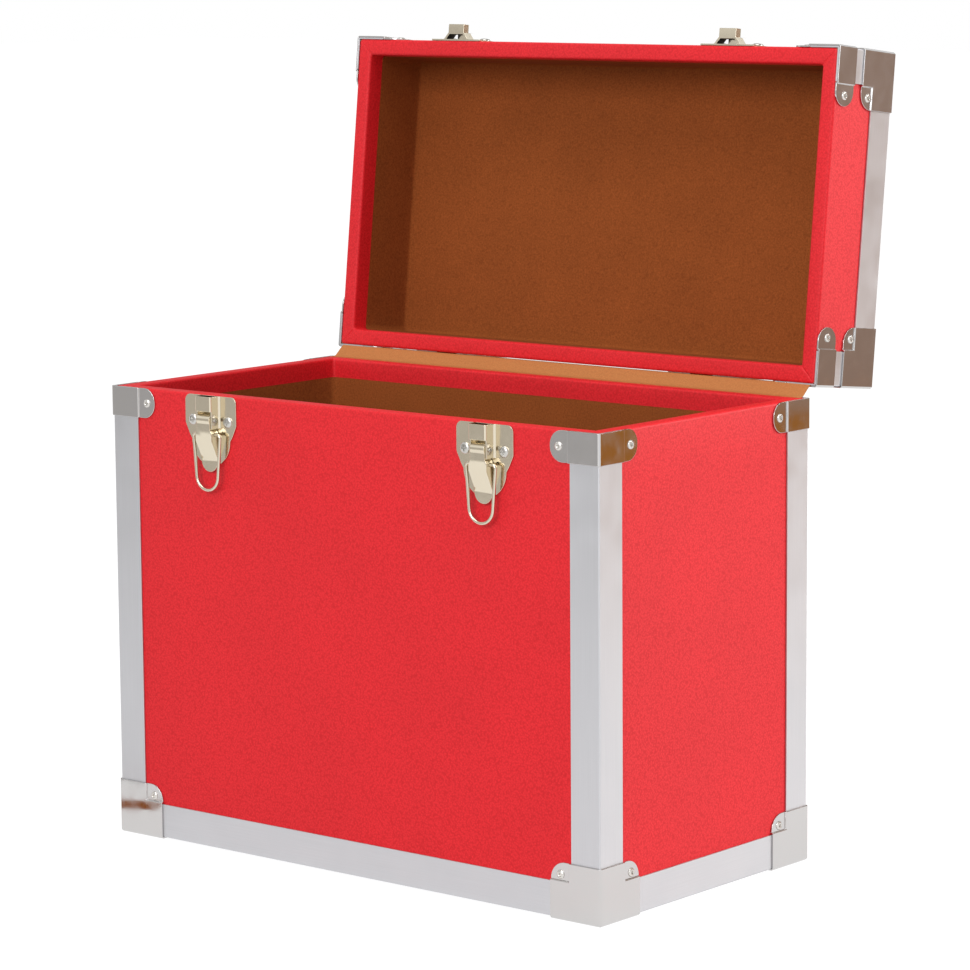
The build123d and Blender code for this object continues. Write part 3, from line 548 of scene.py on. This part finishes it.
def eased_copy(node, name, easing, steps=2, step_bend=0.0, sharp=28):
    """A copy of a CAD node with its triangles joined into faces and its edges eased. The
    normals are weighed by area, so that the flats stay flat to the eye."""
    mesh = joined_faces(node)
    if step_bend:
        bmesh.ops.bevel(mesh, geom=step_edges(mesh), offset=step_bend, segments=4, profile=0.5,
                        affect="EDGES", clamp_overlap=False)
    edges = [e for e in mesh.edges
             if len(e.link_faces) == 2 and e.calc_face_angle(0) > radians(sharp)]
    bmesh.ops.bevel(mesh, geom=edges, offset=easing, segments=steps, profile=0.5,
                    affect="EDGES", clamp_overlap=False)
    blank = bpy.data.objects.new(name, to_data(mesh, name))
    bpy.context.scene.collection.objects.link(blank)
    evened = blank.modifiers.new("even_flats", "WEIGHTED_NORMAL")
    evened.keep_sharp = True
    return taken_mesh(blank)


def place_eased(node, name, easing, material, body, slot, **bends):
    """Places an eased copy of a CAD node under its own name."""
    mesh = eased_copy(node, name, easing, **bends)
    return place_piece(name, mesh, material, body, slot, node)


def satin_aluminium(name, tone_hex, along):
    """Extruded and satin anodised: a pale, even metal whose low gloss is drawn out along the
    die lines. The lines are drawn 0.5 mm apart, coarser than the real ones, so that they show."""
    line_gap, line_run, haze_patch, line_depth = 0.5 * mm, 60 * mm, 25 * mm, 0.02 * mm
    material = bpy.data.materials.new(name)
    tree = empty_tree(material)
    place = add_node(tree, "ShaderNodeTexCoord").outputs["Object"]
    turn = Vector(along).to_track_quat("Z", "Y").inverted().to_euler()
    laid = add_node(tree, "ShaderNodeMapping", {"Rotation": turn}, {"Vector": place},
                    vector_type="POINT")
    lines = add_node(tree, "ShaderNodeMapping", {
        "Scale": (1 / line_gap, 1 / line_gap, 1 / line_run)}, {"Vector": laid.outputs[0]},
        vector_type="POINT")
    die = add_node(tree, "ShaderNodeTexNoise", {"Scale": 1.0, "Detail": 3.0},
                   {"Vector": lines.outputs[0]})
    haze = add_node(tree, "ShaderNodeTexNoise", {"Scale": 1 / haze_patch, "Detail": 3.0},
                    {"Vector": laid.outputs[0]})
    rough = add_node(tree, "ShaderNodeMapRange", {
        "From Min": 0.3, "From Max": 0.7, "To Min": 0.34, "To Max": 0.46}, {
        "Value": haze.outputs["Fac"]})
    tone = add_node(tree, "ShaderNodeMapRange", {
        "From Min": 0.2, "From Max": 0.8, "To Min": 0.96, "To Max": 1.03}, {
        "Value": die.outputs["Fac"]})
    tint = add_node(tree, "ShaderNodeVectorMath", {0: linear(tone_hex)[:3]},
                    {"Scale": tone.outputs[0]}, operation="SCALE")
    bump = add_node(tree, "ShaderNodeBump", {"Strength": 0.12, "Distance": line_depth},
                    {"Height": die.outputs["Fac"]})
    metal = add_node(tree, "ShaderNodeBsdfPrincipled", {"Metallic": 1.0}, {
        "Base Color": tint.outputs[0], "Roughness": rough.outputs[0],
        "Normal": bump.outputs[0]})
    add_node(tree, "ShaderNodeOutputMaterial", links={"Surface": metal.outputs[0]})
    return material


edging_tone = "c6c6c9"
edging_easing = 0.12 * mm
lid_turn = open_lid.to_3x3()
wide_metal = satin_aluminium("satin_aluminium_wide", edging_tone, (1, 0, 0))
deep_metal = {"base": satin_aluminium("satin_aluminium_deep", edging_tone, (0, 1, 0))}
tall_metal = {"base": satin_aluminium("satin_aluminium_tall", edging_tone, (0, 0, 1))}
deep_metal["lid"] = satin_aluminium("satin_aluminium_lid_deep", edging_tone,
                                    lid_turn @ Vector((0, 1, 0)))
tall_metal["lid"] = satin_aluminium("satin_aluminium_lid_tall", edging_tone,
                                    lid_turn @ Vector((0, 0, 1)))
for node in sorted(frame["nodes"]):
    if node.endswith("_edging"):
        body, *where = node.split("_")[:-1]
        if where[0] not in ("bottom", "top"):
            metal = tall_metal[body]
        elif where[1] in ("left", "right"):
            metal = deep_metal[body]
        else:
            metal = wide_metal
        place_eased(node, node + "_angle", edging_easing, metal, body, "aluminium_edging")

# ---- Pressed corners and rim brackets ----------------------------------------------------
# Corner caps and rim angles, pressed from steel sheet and nickel plated. They sit over the
# edging and step down to riveted ears; the press leaves every bend and edge a little round.


def plated_steel(name, tone_hex, rough_low, rough_high):
    """Steel with a bright plating: a mirror with a fine orange peel, 0.9 mm across, from the
    steel under it, and dulled a little here and there by handling. Nickel is warm and clear,
    and zinc is greyer and duller."""
    smear, peel_size, peel_depth = 9 * mm, 0.9 * mm, 0.02 * mm
    material = bpy.data.materials.new(name)
    tree = empty_tree(material)
    place = add_node(tree, "ShaderNodeTexCoord").outputs["Object"]
    smears = add_node(tree, "ShaderNodeTexNoise", {
        "Scale": 1 / smear, "Detail": 5.0, "Roughness": 0.6}, {"Vector": place})
    peel = add_node(tree, "ShaderNodeTexNoise", {"Scale": 1 / peel_size, "Detail": 2.0},
                    {"Vector": place})
    rough = add_node(tree, "ShaderNodeMapRange", {
        "From Min": 0.35, "From Max": 0.68, "To Min": rough_low, "To Max": rough_high}, {
        "Value": smears.outputs["Fac"]})
    bump = add_node(tree, "ShaderNodeBump", {"Strength": 0.10, "Distance": peel_depth},
                    {"Height": peel.outputs["Fac"]})
    metal = add_node(tree, "ShaderNodeBsdfPrincipled", {
        "Metallic": 1.0, "Base Color": linear(tone_hex)}, {
        "Roughness": rough.outputs[0], "Normal": bump.outputs[0]})
    add_node(tree, "ShaderNodeOutputMaterial", links={"Surface": metal.outputs[0]})
    return material


nickel_sheet = plated_steel("bright_nickel_plated_sheet", "c5c3c2", 0.07, 0.16)
pressing_easing, pressing_bend = 0.24 * mm, 0.7 * mm
for node in sorted(frame["nodes"]):
    if node.endswith(("_cap", "_rim_brackets")):
        place_eased(node, node + "_pressing", pressing_easing, nickel_sheet,
                    node.split("_")[0], "nickel_plated_steel", steps=3, step_bend=pressing_bend)

# ---- Hollow rivets -----------------------------------------------------------------------
# Nickel-plated tubular rivets with low domed heads and open bores, one in each ear of a corner
# or bracket and four in each pair of hinge leaves. They are set by a press from outside.


def head_seats(node):
    """The seat of every fastener head in a CAD node, and the way that the head points. The
    seats are the node's largest faces, all about the same size."""
    least_share = 0.8
    mesh = joined_faces(node)
    widest = max(face.calc_area() for face in mesh.faces)
    feet = [face for face in mesh.faces if face.calc_area() > least_share * widest]
    seats = [(face.calc_center_median(), -face.normal.copy()) for face in feet]
    mesh.free()
    return seats


def shape_tree(name, taken, inputs, made):
    """An empty geometry tree with named inputs. Gives the tree and its inputs' sockets."""
    tree = bpy.data.node_groups.new(name, "GeometryNodeTree")
    for label, kind in [(taken, "Geometry"), *inputs]:
        tree.interface.new_socket(label, in_out="INPUT", socket_type="NodeSocket" + kind)
    tree.interface.new_socket(made, in_out="OUTPUT", socket_type="NodeSocketGeometry")
    return tree, add_node(tree, "NodeGroupInput").outputs


def end_tree(tree, shape, plating):
    """Ends a geometry tree: the shape is made real and gets its plating."""
    real = add_node(tree, "GeometryNodeRealizeInstances", links={0: shape})
    plated = add_node(tree, "GeometryNodeSetMaterial", links={
        "Geometry": real.outputs[0], "Material": plating})
    add_node(tree, "NodeGroupOutput", links={0: plated.outputs[0]})


def run_tree(blank, tree, sizes, sharp=38):
    """Runs a tree on an object with its inputs set by their sockets' identifiers."""
    bpy.context.scene.collection.objects.link(blank)
    maker = blank.modifiers.new(tree.name, "NODES")
    maker.node_group = tree
    for socket in tree.interface.items_tree:
        if socket.in_out == "INPUT" and socket.name in sizes:
            maker[socket.identifier] = sizes[socket.name]
    mesh = taken_mesh(blank)
    for face in mesh.polygons:
        face.use_smooth = True
    mesh.set_sharp_from_angle(angle=radians(sharp))
    return mesh


head_inputs = [("Head Diameter", "Float"), ("Bore Diameter", "Float"), ("Head Height", "Float"),
               ("Sides", "Int"), ("Seed", "Int"), ("Plating", "Material")]


def head_tree(name, shares, inputs):
    """A tree that turns a head from its profile, a column of a grid for each of its points. A
    point is a share of the head's radius, of its bore's radius and of its height. The grid's
    columns stand at the points and its rows go once round."""
    tree, given = shape_tree(name, "Seats", inputs, "Heads")
    last, weld = len(shares) - 1, 0.002 * mm
    stops = add_node(tree, "ShaderNodeMath", {1: 1.0}, {0: given["Sides"]}, operation="ADD")
    sheet = add_node(tree, "GeometryNodeMeshGrid", {
        "Size X": 1.0, "Size Y": 1.0, "Vertices X": len(shares)}, {
        "Vertices Y": stops.outputs[0]})
    place = add_node(tree, "GeometryNodeInputPosition")
    flat = add_node(tree, "ShaderNodeSeparateXYZ", links={0: place.outputs[0]})
    column = add_node(tree, "ShaderNodeMath", {1: float(last), 2: last / 2},
                      {0: flat.outputs[0]}, operation="MULTIPLY_ADD")
    whole = add_node(tree, "ShaderNodeMath", links={0: column.outputs[0]}, operation="ROUND")
    pick = add_node(tree, "GeometryNodeIndexSwitch", links={0: whole.outputs[0]},
                    data_type="VECTOR")
    while len(pick.index_switch_items) < len(shares):
        pick.index_switch_items.new()
    for number, share in enumerate(shares):
        pick.inputs[number + 1].default_value = share
    spans = add_node(tree, "ShaderNodeCombineXYZ", links={
        0: given["Head Diameter"], 1: given["Bore Diameter"], 2: given["Head Height"]})
    radii = add_node(tree, "ShaderNodeVectorMath", {1: (0.5, 0.5, 1.0)}, {0: spans.outputs[0]},
                     operation="MULTIPLY")
    sized = add_node(tree, "ShaderNodeVectorMath", links={
        0: pick.outputs[0], 1: radii.outputs[0]}, operation="MULTIPLY")
    parts = add_node(tree, "ShaderNodeSeparateXYZ", links={0: sized.outputs[0]})
    reach = add_node(tree, "ShaderNodeMath", links={
        0: parts.outputs[0], 1: parts.outputs[1]}, operation="ADD")
    upright = add_node(tree, "ShaderNodeCombineXYZ", links={
        0: reach.outputs[0], 2: parts.outputs[2]})
    angle = add_node(tree, "ShaderNodeMath", {1: 2 * pi}, {0: flat.outputs[1]},
                     operation="MULTIPLY")
    turned = add_node(tree, "ShaderNodeVectorRotate", links={
        "Vector": upright.outputs[0], "Angle": angle.outputs[0]}, rotation_type="Z_AXIS")
    spun = add_node(tree, "GeometryNodeSetPosition", links={
        "Geometry": sheet.outputs["Mesh"], "Position": turned.outputs[0]})
    head = add_node(tree, "GeometryNodeMergeByDistance", {"Distance": weld},
                    {"Geometry": spun.outputs[0]})
    return tree, given, head.outputs[0]


def set_heads(tree, given, head):
    """Ends a head's tree: each head stands on its seat, turned at random about its own axis."""
    way = add_node(tree, "GeometryNodeInputNamedAttribute", {"Name": "way"},
                   data_type="FLOAT_VECTOR")
    stand = add_node(tree, "FunctionNodeAlignRotationToVector",
                     links={"Vector": way.outputs[0]}, axis="Z")
    chance = add_node(tree, "FunctionNodeRandomValue", {2: 0.0, 3: 2 * pi},
                      {8: given["Seed"]}, data_type="FLOAT")
    twist = add_node(tree, "FunctionNodeAxisAngleToRotation", {0: (0, 0, 1)},
                     {1: chance.outputs[1]})
    both = add_node(tree, "FunctionNodeRotateRotation", links={
        0: stand.outputs[0], 1: twist.outputs[0]}, rotation_space="LOCAL")
    placed = add_node(tree, "GeometryNodeInstanceOnPoints", links={
        "Points": given["Seats"], "Instance": head, "Rotation": both.outputs[0]})
    end_tree(tree, placed.outputs[0], given["Plating"])


def place_heads(node, tree, sizes, body, slot):
    """Places all the heads of one CAD node as one piece."""
    name = node + "_set"
    seats = head_seats(node)
    points = bpy.data.meshes.new(name)
    points.from_pydata([place for place, way in seats], [], [])
    ways = points.attributes.new("way", "FLOAT_VECTOR", "POINT")
    for number, (place, way) in enumerate(seats):
        ways.data[number].vector = way
    heads = run_tree(bpy.data.objects.new(name, points), tree, sizes)
    place_piece(name, heads, sizes["Plating"], body, slot, node)


rivet_profile = [(0, 0, 0.12), (0, 1, 0.12), (0, 1, 0.80), (0, 1.14, 0.93), (0.24, 0.90, 1.0),
                 (0.66, 0, 0.96), (0.85, 0, 0.74), (0.96, 0, 0.42), (1, 0, 0.12), (1, 0, 0),
                 (0, 0, 0)]
rivet_tree, given, head = head_tree("hollow_rivets", rivet_profile, head_inputs)
set_heads(rivet_tree, given, head)
# The setting tool leaves the rivets' nickel a little scuffed.
rivet_nickel = plated_steel("bright_nickel_plated_rivets", "d2cfca", 0.12, 0.26)
rivet_sizes = {"Head Diameter": 5.2 * mm, "Bore Diameter": 2.0 * mm, "Head Height": 0.95 * mm,
               "Sides": 24, "Seed": 3, "Plating": rivet_nickel}
for node, body in (("base_corner_rivets", "base"), ("lid_corner_rivets", "lid"),
                   ("hinge_lower_rivets", "base"), ("hinge_upper_rivets", "lid")):
    place_heads(node, rivet_tree, rivet_sizes, body, "rivet_steel")

# ---- Latches -----------------------------------------------------------------------------
# Draw latches of pressed, nickel-plated steel: a shield-shaped plate with a raised tunnel, a
# folded lever on a plain pin, and on the lid a keeper with a hollow boss for the bail.
stamping_easing, pin_easing = 0.16 * mm, 0.15 * mm
# The latches' nickel is a shade yellower than that of the corners.
latch_nickel = plated_steel("warm_nickel_plated_stampings", "d9cfba", 0.09, 0.20)

# Painted shade in the hollow keeper boss: almost black and matt, with patchy roughness.
stain = 2 * mm
painted_boss_shade = bpy.data.materials.new("painted_shade_inside_the_boss")
tree = empty_tree(painted_boss_shade)
place = add_node(tree, "ShaderNodeTexCoord").outputs["Object"]
stains = add_node(tree, "ShaderNodeTexNoise", {"Scale": 1 / stain, "Detail": 3.0},
                  {"Vector": place})
rough = add_node(tree, "ShaderNodeMapRange", {"To Min": 0.55, "To Max": 0.85},
                 {"Value": stains.outputs["Fac"]})
boss_shade_bsdf = add_node(tree, "ShaderNodeBsdfPrincipled", {
    "Base Color": linear("1d1a18"), "Specular IOR Level": 0.2}, {"Roughness": rough.outputs[0]})
add_node(tree, "ShaderNodeOutputMaterial", links={"Surface": boss_shade_bsdf.outputs[0]})
boss_middle_depth, boss_middle_height, outer_skin = 4.5 * mm, 6 * mm, 1.3 * mm


def paint_boss_shade(piece, node):
    """Painted shade on the inner walls of a keeper's boss, which face its middle."""
    low, high = shut_box(node)
    middle = open_lid @ Vector(((low.x + high.x) / 2, low.y + boss_middle_depth,
                                low.z + boss_middle_height))
    piece.data.materials.append(painted_boss_shade)
    for face in piece.data.polygons:
        place = shut_lid @ face.center
        inward = face.normal.dot(middle - face.center)
        if inward > 0 and place.y < high.y - outer_skin:
            face.material_index = 1


for side in ("left", "right"):
    for node, body in (("latch_plate_" + side, "base"), ("latch_lever_" + side, side + "_lever"),
                       ("keeper_" + side, "lid")):
        piece = place_eased(node, node + "_stamping", stamping_easing, latch_nickel, body,
                            "nickel_plated_steel")
        if node.startswith("keeper"):
            # The inner walls of the boss get painted shade.
            paint_boss_shade(piece, node)

# The pins are zinc plated, which is duller.
pin_steel = plated_steel("zinc_plated_pin_steel", "bdbbb6", 0.20, 0.32)
place_eased("latch_lever_pins", "latch_lever_pin_pair", pin_easing, pin_steel, "base",
            "fastener_steel")

# ---- Wire bails --------------------------------------------------------------------------
# Loops of hard-drawn, nickel-plated wire, bent round a former. The two ends turn in through
# the lever's side walls and turn there.
bail_inputs = [("Wire Diameter", "Float"), ("Bend Radius", "Float"), ("Crown Radius", "Float"),
               ("Sides", "Int"), ("Bend Steps", "Int"), ("Plating", "Material")]
# The wire's ends and corners in mm, across and up from the pivot. The two at the crown, next
# to the middle of the list, have the wider bend.
wire_corners = [(-4.9, 0), (-10.775, 0), (-7.954, -33.6), (7.954, -33.6), (10.775, 0), (4.9, 0)]
middle_number = (len(wire_corners) - 1) / 2
bail_tree, given = shape_tree("bent_wire", "Corners", bail_inputs, "Wire")
number = add_node(bail_tree, "GeometryNodeInputIndex").outputs[0]
from_middle = add_node(bail_tree, "ShaderNodeMath", {1: middle_number}, {0: number},
                       operation="SUBTRACT")
off_middle = add_node(bail_tree, "ShaderNodeMath", links={0: from_middle.outputs[0]},
                      operation="ABSOLUTE")
at_crown = add_node(bail_tree, "ShaderNodeMath", {1: 1.0}, {0: off_middle.outputs[0]},
                    operation="LESS_THAN")
radius = add_node(bail_tree, "ShaderNodeMix", links={
    "Factor": at_crown.outputs[0], "A": given["Bend Radius"], "B": given["Crown Radius"]},
    data_type="FLOAT")
bent = add_node(bail_tree, "GeometryNodeFilletCurve", links={
    "Curve": given["Corners"], "Count": given["Bend Steps"], "Radius": radius.outputs[0]},
    mode="POLY")
half_wire = add_node(bail_tree, "ShaderNodeMath", {1: 0.5}, {0: given["Wire Diameter"]},
                     operation="MULTIPLY")
section = add_node(bail_tree, "GeometryNodeCurvePrimitiveCircle", links={
    "Resolution": given["Sides"], "Radius": half_wire.outputs[0]})
drawn = add_node(bail_tree, "GeometryNodeCurveToMesh", {"Fill Caps": True}, {
    "Curve": bent.outputs[0], "Profile Curve": section.outputs[0]})
end_tree(bail_tree, drawn.outputs[0], given["Plating"])

# Drawn wire is smooth, so its nickel is nearly as clear as the corners'.
wire_nickel = plated_steel("bright_nickel_plated_wire", "d0c7b4", 0.08, 0.18)
wire_sizes = {"Wire Diameter": 2.0 * mm, "Bend Radius": 2.0 * mm, "Crown Radius": 8.6 * mm,
              "Sides": 14, "Bend Steps": 10, "Plating": wire_nickel}
for side in ("left", "right"):
    pivot = Vector(joint_named(side + "_bail_pivot")["pos_m"])
    route = bpy.data.curves.new("bail_route_" + side, "CURVE")
    route.dimensions = "3D"
    spline = route.splines.new("POLY")
    spline.points.add(len(wire_corners) - 1)
    for point, (across, rise) in zip(spline.points, wire_corners):
        point.co = (*(pivot + Vector((across, 0, rise)) * mm), 1)
    wire = run_tree(bpy.data.objects.new("bail_route_" + side, route), bail_tree, wire_sizes)
    place_piece("wire_bail_" + side, wire, wire_nickel, side + "_bail", "nickel_plated_steel",
                "latch_bail_" + side)

# ---- Screws ------------------------------------------------------------------------------
# Cross-slotted pan-head wood screws, zinc plated: two in each latch plate and keeper and two
# in each handle bracket. No two slots stand alike.
screw_profile = [(0, 0, 1), (0.3, 0, 0.985), (0.55, 0, 0.93), (0.76, 0, 0.80), (0.91, 0, 0.58),
                 (0.98, 0, 0.32), (1, 0, 0), (0, 0, 0)]
slot_inputs = [("Slot Length", "Float"), ("Slot Width", "Float"), ("Slot Depth", "Float")]
screw_tree, given, head = head_tree("cross_slotted_screws", screw_profile,
                                    head_inputs + slot_inputs)
slots = []
for long, wide in (("Slot Length", "Slot Width"), ("Slot Width", "Slot Length")):
    deep = add_node(screw_tree, "ShaderNodeMath", {1: 2.0}, {0: given["Slot Depth"]},
                    operation="MULTIPLY")
    size = add_node(screw_tree, "ShaderNodeCombineXYZ", links={
        0: given[long], 1: given[wide], 2: deep.outputs[0]})
    bar = add_node(screw_tree, "GeometryNodeMeshCube", links={"Size": size.outputs[0]})
    lift = add_node(screw_tree, "ShaderNodeCombineXYZ", links={2: given["Head Height"]})
    slots.append(add_node(screw_tree, "GeometryNodeTransform", links={
        "Geometry": bar.outputs["Mesh"], "Translation": lift.outputs[0]}))
for slot in slots:
    cut = add_node(screw_tree, "GeometryNodeMeshBoolean", links={0: head, 1: slot.outputs[0]},
                   operation="DIFFERENCE", solver="EXACT")
    head = cut.outputs[0]
set_heads(screw_tree, given, head)
screw_zinc = plated_steel("zinc_plated_screws", "c4c2bd", 0.16, 0.30)
screw_sizes = {"Head Diameter": 7.0 * mm, "Bore Diameter": 0.0, "Head Height": 1.5 * mm,
               "Sides": 24, "Seed": 11, "Plating": screw_zinc, "Slot Length": 4.0 * mm,
               "Slot Width": 0.9 * mm, "Slot Depth": 0.8 * mm}
for node, body in (("latch_plate_screws", "base"), ("keeper_screws", "lid"),
                   ("handle_screws", "lid")):
    screw_sizes["Seed"] += 1
    place_heads(node, screw_tree, screw_sizes, body, "fastener_steel")

# ---- Stop hinges -------------------------------------------------------------------------
# Two pressed steel hinges on the back, with rolled knuckles on a plain pin. Lugs beside the
# knuckles meet when the lid is open and hold it a little past upright.
leaf_easing, hinge_pin_easing = 0.09 * mm, 0.12 * mm
# The hinges' nickel is thin and plain, so it is duller than that of the corners.
hinge_nickel = plated_steel("nickel_plated_hinge_steel", "c6c3bc", 0.16, 0.28)
for node, body in (("hinge_lower_leaves", "base"), ("hinge_upper_leaves", "lid")):
    place_eased(node, node + "_pair", leaf_easing, hinge_nickel, body, "hinge_steel")
place_eased("hinge_pins", "hinge_pin_pair", hinge_pin_easing, pin_steel, "base",
            "fastener_steel")

# ---- Hinge cloth -------------------------------------------------------------------------
# A strip of tan bookcloth glued along the back edges of both rims. It closes the gap under
# the open lid, where it is drawn as it lies, fixed to neither half.


def bookcloth(name, thread_hex, gap_hex):
    """Starched cotton bookcloth: matt, with a plain weave. The threads are drawn 0.9 mm apart,
    twice their real pitch, so that they show."""
    pitch, thread_depth = 0.9 * mm, 0.1 * mm
    material = bpy.data.materials.new(name)
    tree = empty_tree(material)
    place = add_node(tree, "ShaderNodeTexCoord").outputs["Object"]
    weave = add_node(tree, "ShaderNodeTexNoise", {"Scale": 1 / pitch, "Detail": 2.0},
                     {"Vector": place})
    colour = add_node(tree, "ShaderNodeMix", {"A": linear(gap_hex), "B": linear(thread_hex)},
                      {"Factor": weave.outputs["Fac"]}, data_type="RGBA")
    bump = add_node(tree, "ShaderNodeBump", {"Strength": 0.3, "Distance": thread_depth},
                    {"Height": weave.outputs["Fac"]})
    cloth = add_node(tree, "ShaderNodeBsdfPrincipled", {
        "Roughness": 0.9, "Specular IOR Level": 0.15}, {
        "Base Color": colour.outputs["Result"], "Normal": bump.outputs[0]})
    add_node(tree, "ShaderNodeOutputMaterial", links={"Surface": cloth.outputs[0]})
    return material


tan_bookcloth = bookcloth("tan_bookcloth", "c9854e", "a5673a")
cloth_overhang, cloth_thickness, cloth_stops = 2.5 * mm, 0.35 * mm, 60
cloth_low, cloth_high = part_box("hinge_cloth")
cloth_low.x, cloth_high.x = cloth_low.x - cloth_overhang, cloth_high.x + cloth_overhang
cloth_width = cloth_high.x - cloth_low.x
# The strip's line over the gap in mm, back and up, from the base's rim to the lid's rim. It
# lies on the base up to its fourth point and on the lid from its tenth.
cloth_line = [Vector((0, back, rise)) * mm for back, rise in (
    (94.4, 276.28), (95.8, 276.30), (97.2, 276.34), (98.3, 276.62), (99.6, 277.6),
    (101.2, 279.0), (102.9, 280.5), (104.5, 281.8), (105.8, 282.55), (107.0, 282.75),
    (108.4, 282.65), (110.0, 282.47))]
mesh = bmesh.new()
rows = [[mesh.verts.new(p + Vector((cloth_low.x + cloth_width * stop / cloth_stops, 0, 0)))
         for stop in range(cloth_stops + 1)] for p in cloth_line]
for lower, upper in zip(rows, rows[1:]):
    for here in range(cloth_stops):
        mesh.faces.new((lower[here], lower[here + 1], upper[here + 1], upper[here]))
mesh.normal_update()
bmesh.ops.solidify(mesh, geom=list(mesh.faces), thickness=cloth_thickness)
strip = place_piece("hinge_cloth_strip", to_data(mesh, "hinge_cloth_strip"), tan_bookcloth, None,
                    "hinge_cloth", "hinge_cloth")
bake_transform(strip)

# ---- Handle ------------------------------------------------------------------------------
# A swinging handle of black moulded plastic: a full grip on a square bar, with an eye at each
# end. Each eye turns on a steel pin in a pressed bracket, screwed to the lid's top.


def moulded_plastic(name, tone_hex):
    """Black ABS from a lightly spark-etched mould: an even satin with a very fine tooth. The
    tooth is drawn at 0.4 mm, coarser than the real one, so that it shows."""
    tooth_size, tooth_depth = 0.4 * mm, 0.04 * mm
    material = bpy.data.materials.new(name)
    tree = empty_tree(material)
    place = add_node(tree, "ShaderNodeTexCoord").outputs["Object"]
    tooth = add_node(tree, "ShaderNodeTexNoise", {"Scale": 1 / tooth_size, "Detail": 2.0},
                     {"Vector": place})
    rough = add_node(tree, "ShaderNodeMapRange", {"To Min": 0.36, "To Max": 0.56},
                     {"Value": tooth.outputs["Fac"]})
    bump = add_node(tree, "ShaderNodeBump", {"Strength": 0.2, "Distance": tooth_depth},
                    {"Height": tooth.outputs["Fac"]})
    plastic = add_node(tree, "ShaderNodeBsdfPrincipled", {"Base Color": linear(tone_hex)}, {
        "Roughness": rough.outputs[0], "Normal": bump.outputs[0]})
    add_node(tree, "ShaderNodeOutputMaterial", links={"Surface": plastic.outputs[0]})
    return material


black_abs = moulded_plastic("moulded_black_abs", "1c1c1d")
handle_pivot = Vector(joint_named("handle_pivot")["pos_m"])
# In mm: from the middle to an eye, from the eyes down to the grip, and the bend of the bar,
# with its turn in degrees.
reach, drop, bend, bend_turn = 56.0, 44.0, 17.0, 76
bar_width, bar_thickness = 10.0, 9.0
grip_width, grip_thickness = 21, 15
leg_stops, bend_stops = 5, 8
# One half of the handle's line as x, z, the way along it in degrees, and the section's width
# and thickness: down the leg, round the bend, and then the swelling of the grip.
stations = [(-reach, -stop * (drop - bend) / leg_stops, -90, bar_width, bar_thickness)
            for stop in range(1, leg_stops + 1)]
for step in range(1, bend_stops + 1):
    turn = bend_turn * step / bend_stops
    stations.append((-reach + bend * (1 - cos(radians(turn))),
                     -drop + bend * (1 - sin(radians(turn))), turn - 90, bar_width,
                     bar_thickness))
stations += [(-43.2, -drop + 0.2, 0, 10.4, 9.2)]
stations += [(x, -drop, 0, width, thickness) for x, width, thickness in (
    (-43.0, 15.2, 10.0), (-42.2, 16.8, 11.2), (-40, 17.8, 12.0), (-34, 19.3, 13.4),
    (-28, 20.5, 14.6), (-22, grip_width, grip_thickness), (-11, grip_width, grip_thickness))]
stations += [(0, -drop, 0, grip_width, grip_thickness)] + [
    (-x, z, -way, width, thickness) for x, z, way, width, thickness in reversed(stations)]
section_sides, section_power = 28, 0.62
mesh = bmesh.new()
rows = []
for x, z, way, width, thickness in stations:
    centre = handle_pivot + Vector((x, 0, z)) * mm
    across = Vector((-sin(radians(way)), 0, cos(radians(way))))
    row = []
    for number in range(section_sides):
        turn = 2 * pi * number / section_sides
        u = abs(cos(turn)) ** section_power * (1 if cos(turn) >= 0 else -1)
        v = abs(sin(turn)) ** section_power * (1 if sin(turn) >= 0 else -1)
        row.append(mesh.verts.new(centre + across * u * width / 2 * mm
                                  + Vector((0, v * thickness / 2 * mm, 0))))
    rows.append(row)
skin_rings(mesh, rows)
mesh.faces.new(rows[0][::-1])
mesh.faces.new(rows[-1])
# The two eyes: short tubes with rounded lips, moulded in one with the bar. Each point of a lip
# is its radius and its place along the pin, in mm.
eye_sides = 32
eye_lip = [(2.05, 4.6), (2.45, 5.0), (4.9, 5.0), (5.35, 4.8), (5.5, 4.3)]
eye_section = eye_lip + [(radius, -out) for radius, out in reversed(eye_lip)]
for x in (-reach, reach):
    rings = []
    for number in range(eye_sides):
        turn = 2 * pi * number / eye_sides
        rings.append([mesh.verts.new(
            handle_pivot + Vector((x + out, cos(turn) * radius, sin(turn) * radius)) * mm)
            for radius, out in eye_section])
    for ring, after in zip(rings, rings[1:] + rings[:1]):
        for here in range(len(eye_section)):
            there = (here + 1) % len(eye_section)
            mesh.faces.new((ring[here], after[here], after[there], ring[there]))
bmesh.ops.recalc_face_normals(mesh, faces=mesh.faces)
place_piece("handle_grip_moulding", to_data(mesh, "handle_grip_moulding"), black_abs, "handle",
            "handle_plastic", "handle_grip")
bracket_easing = 0.2 * mm
place_eased("handle_brackets", "handle_bracket_pair", bracket_easing, nickel_sheet, "lid",
            "nickel_plated_steel")
place_eased("handle_pins", "handle_pin_pair", bracket_easing, pin_steel, "lid",
            "fastener_steel")
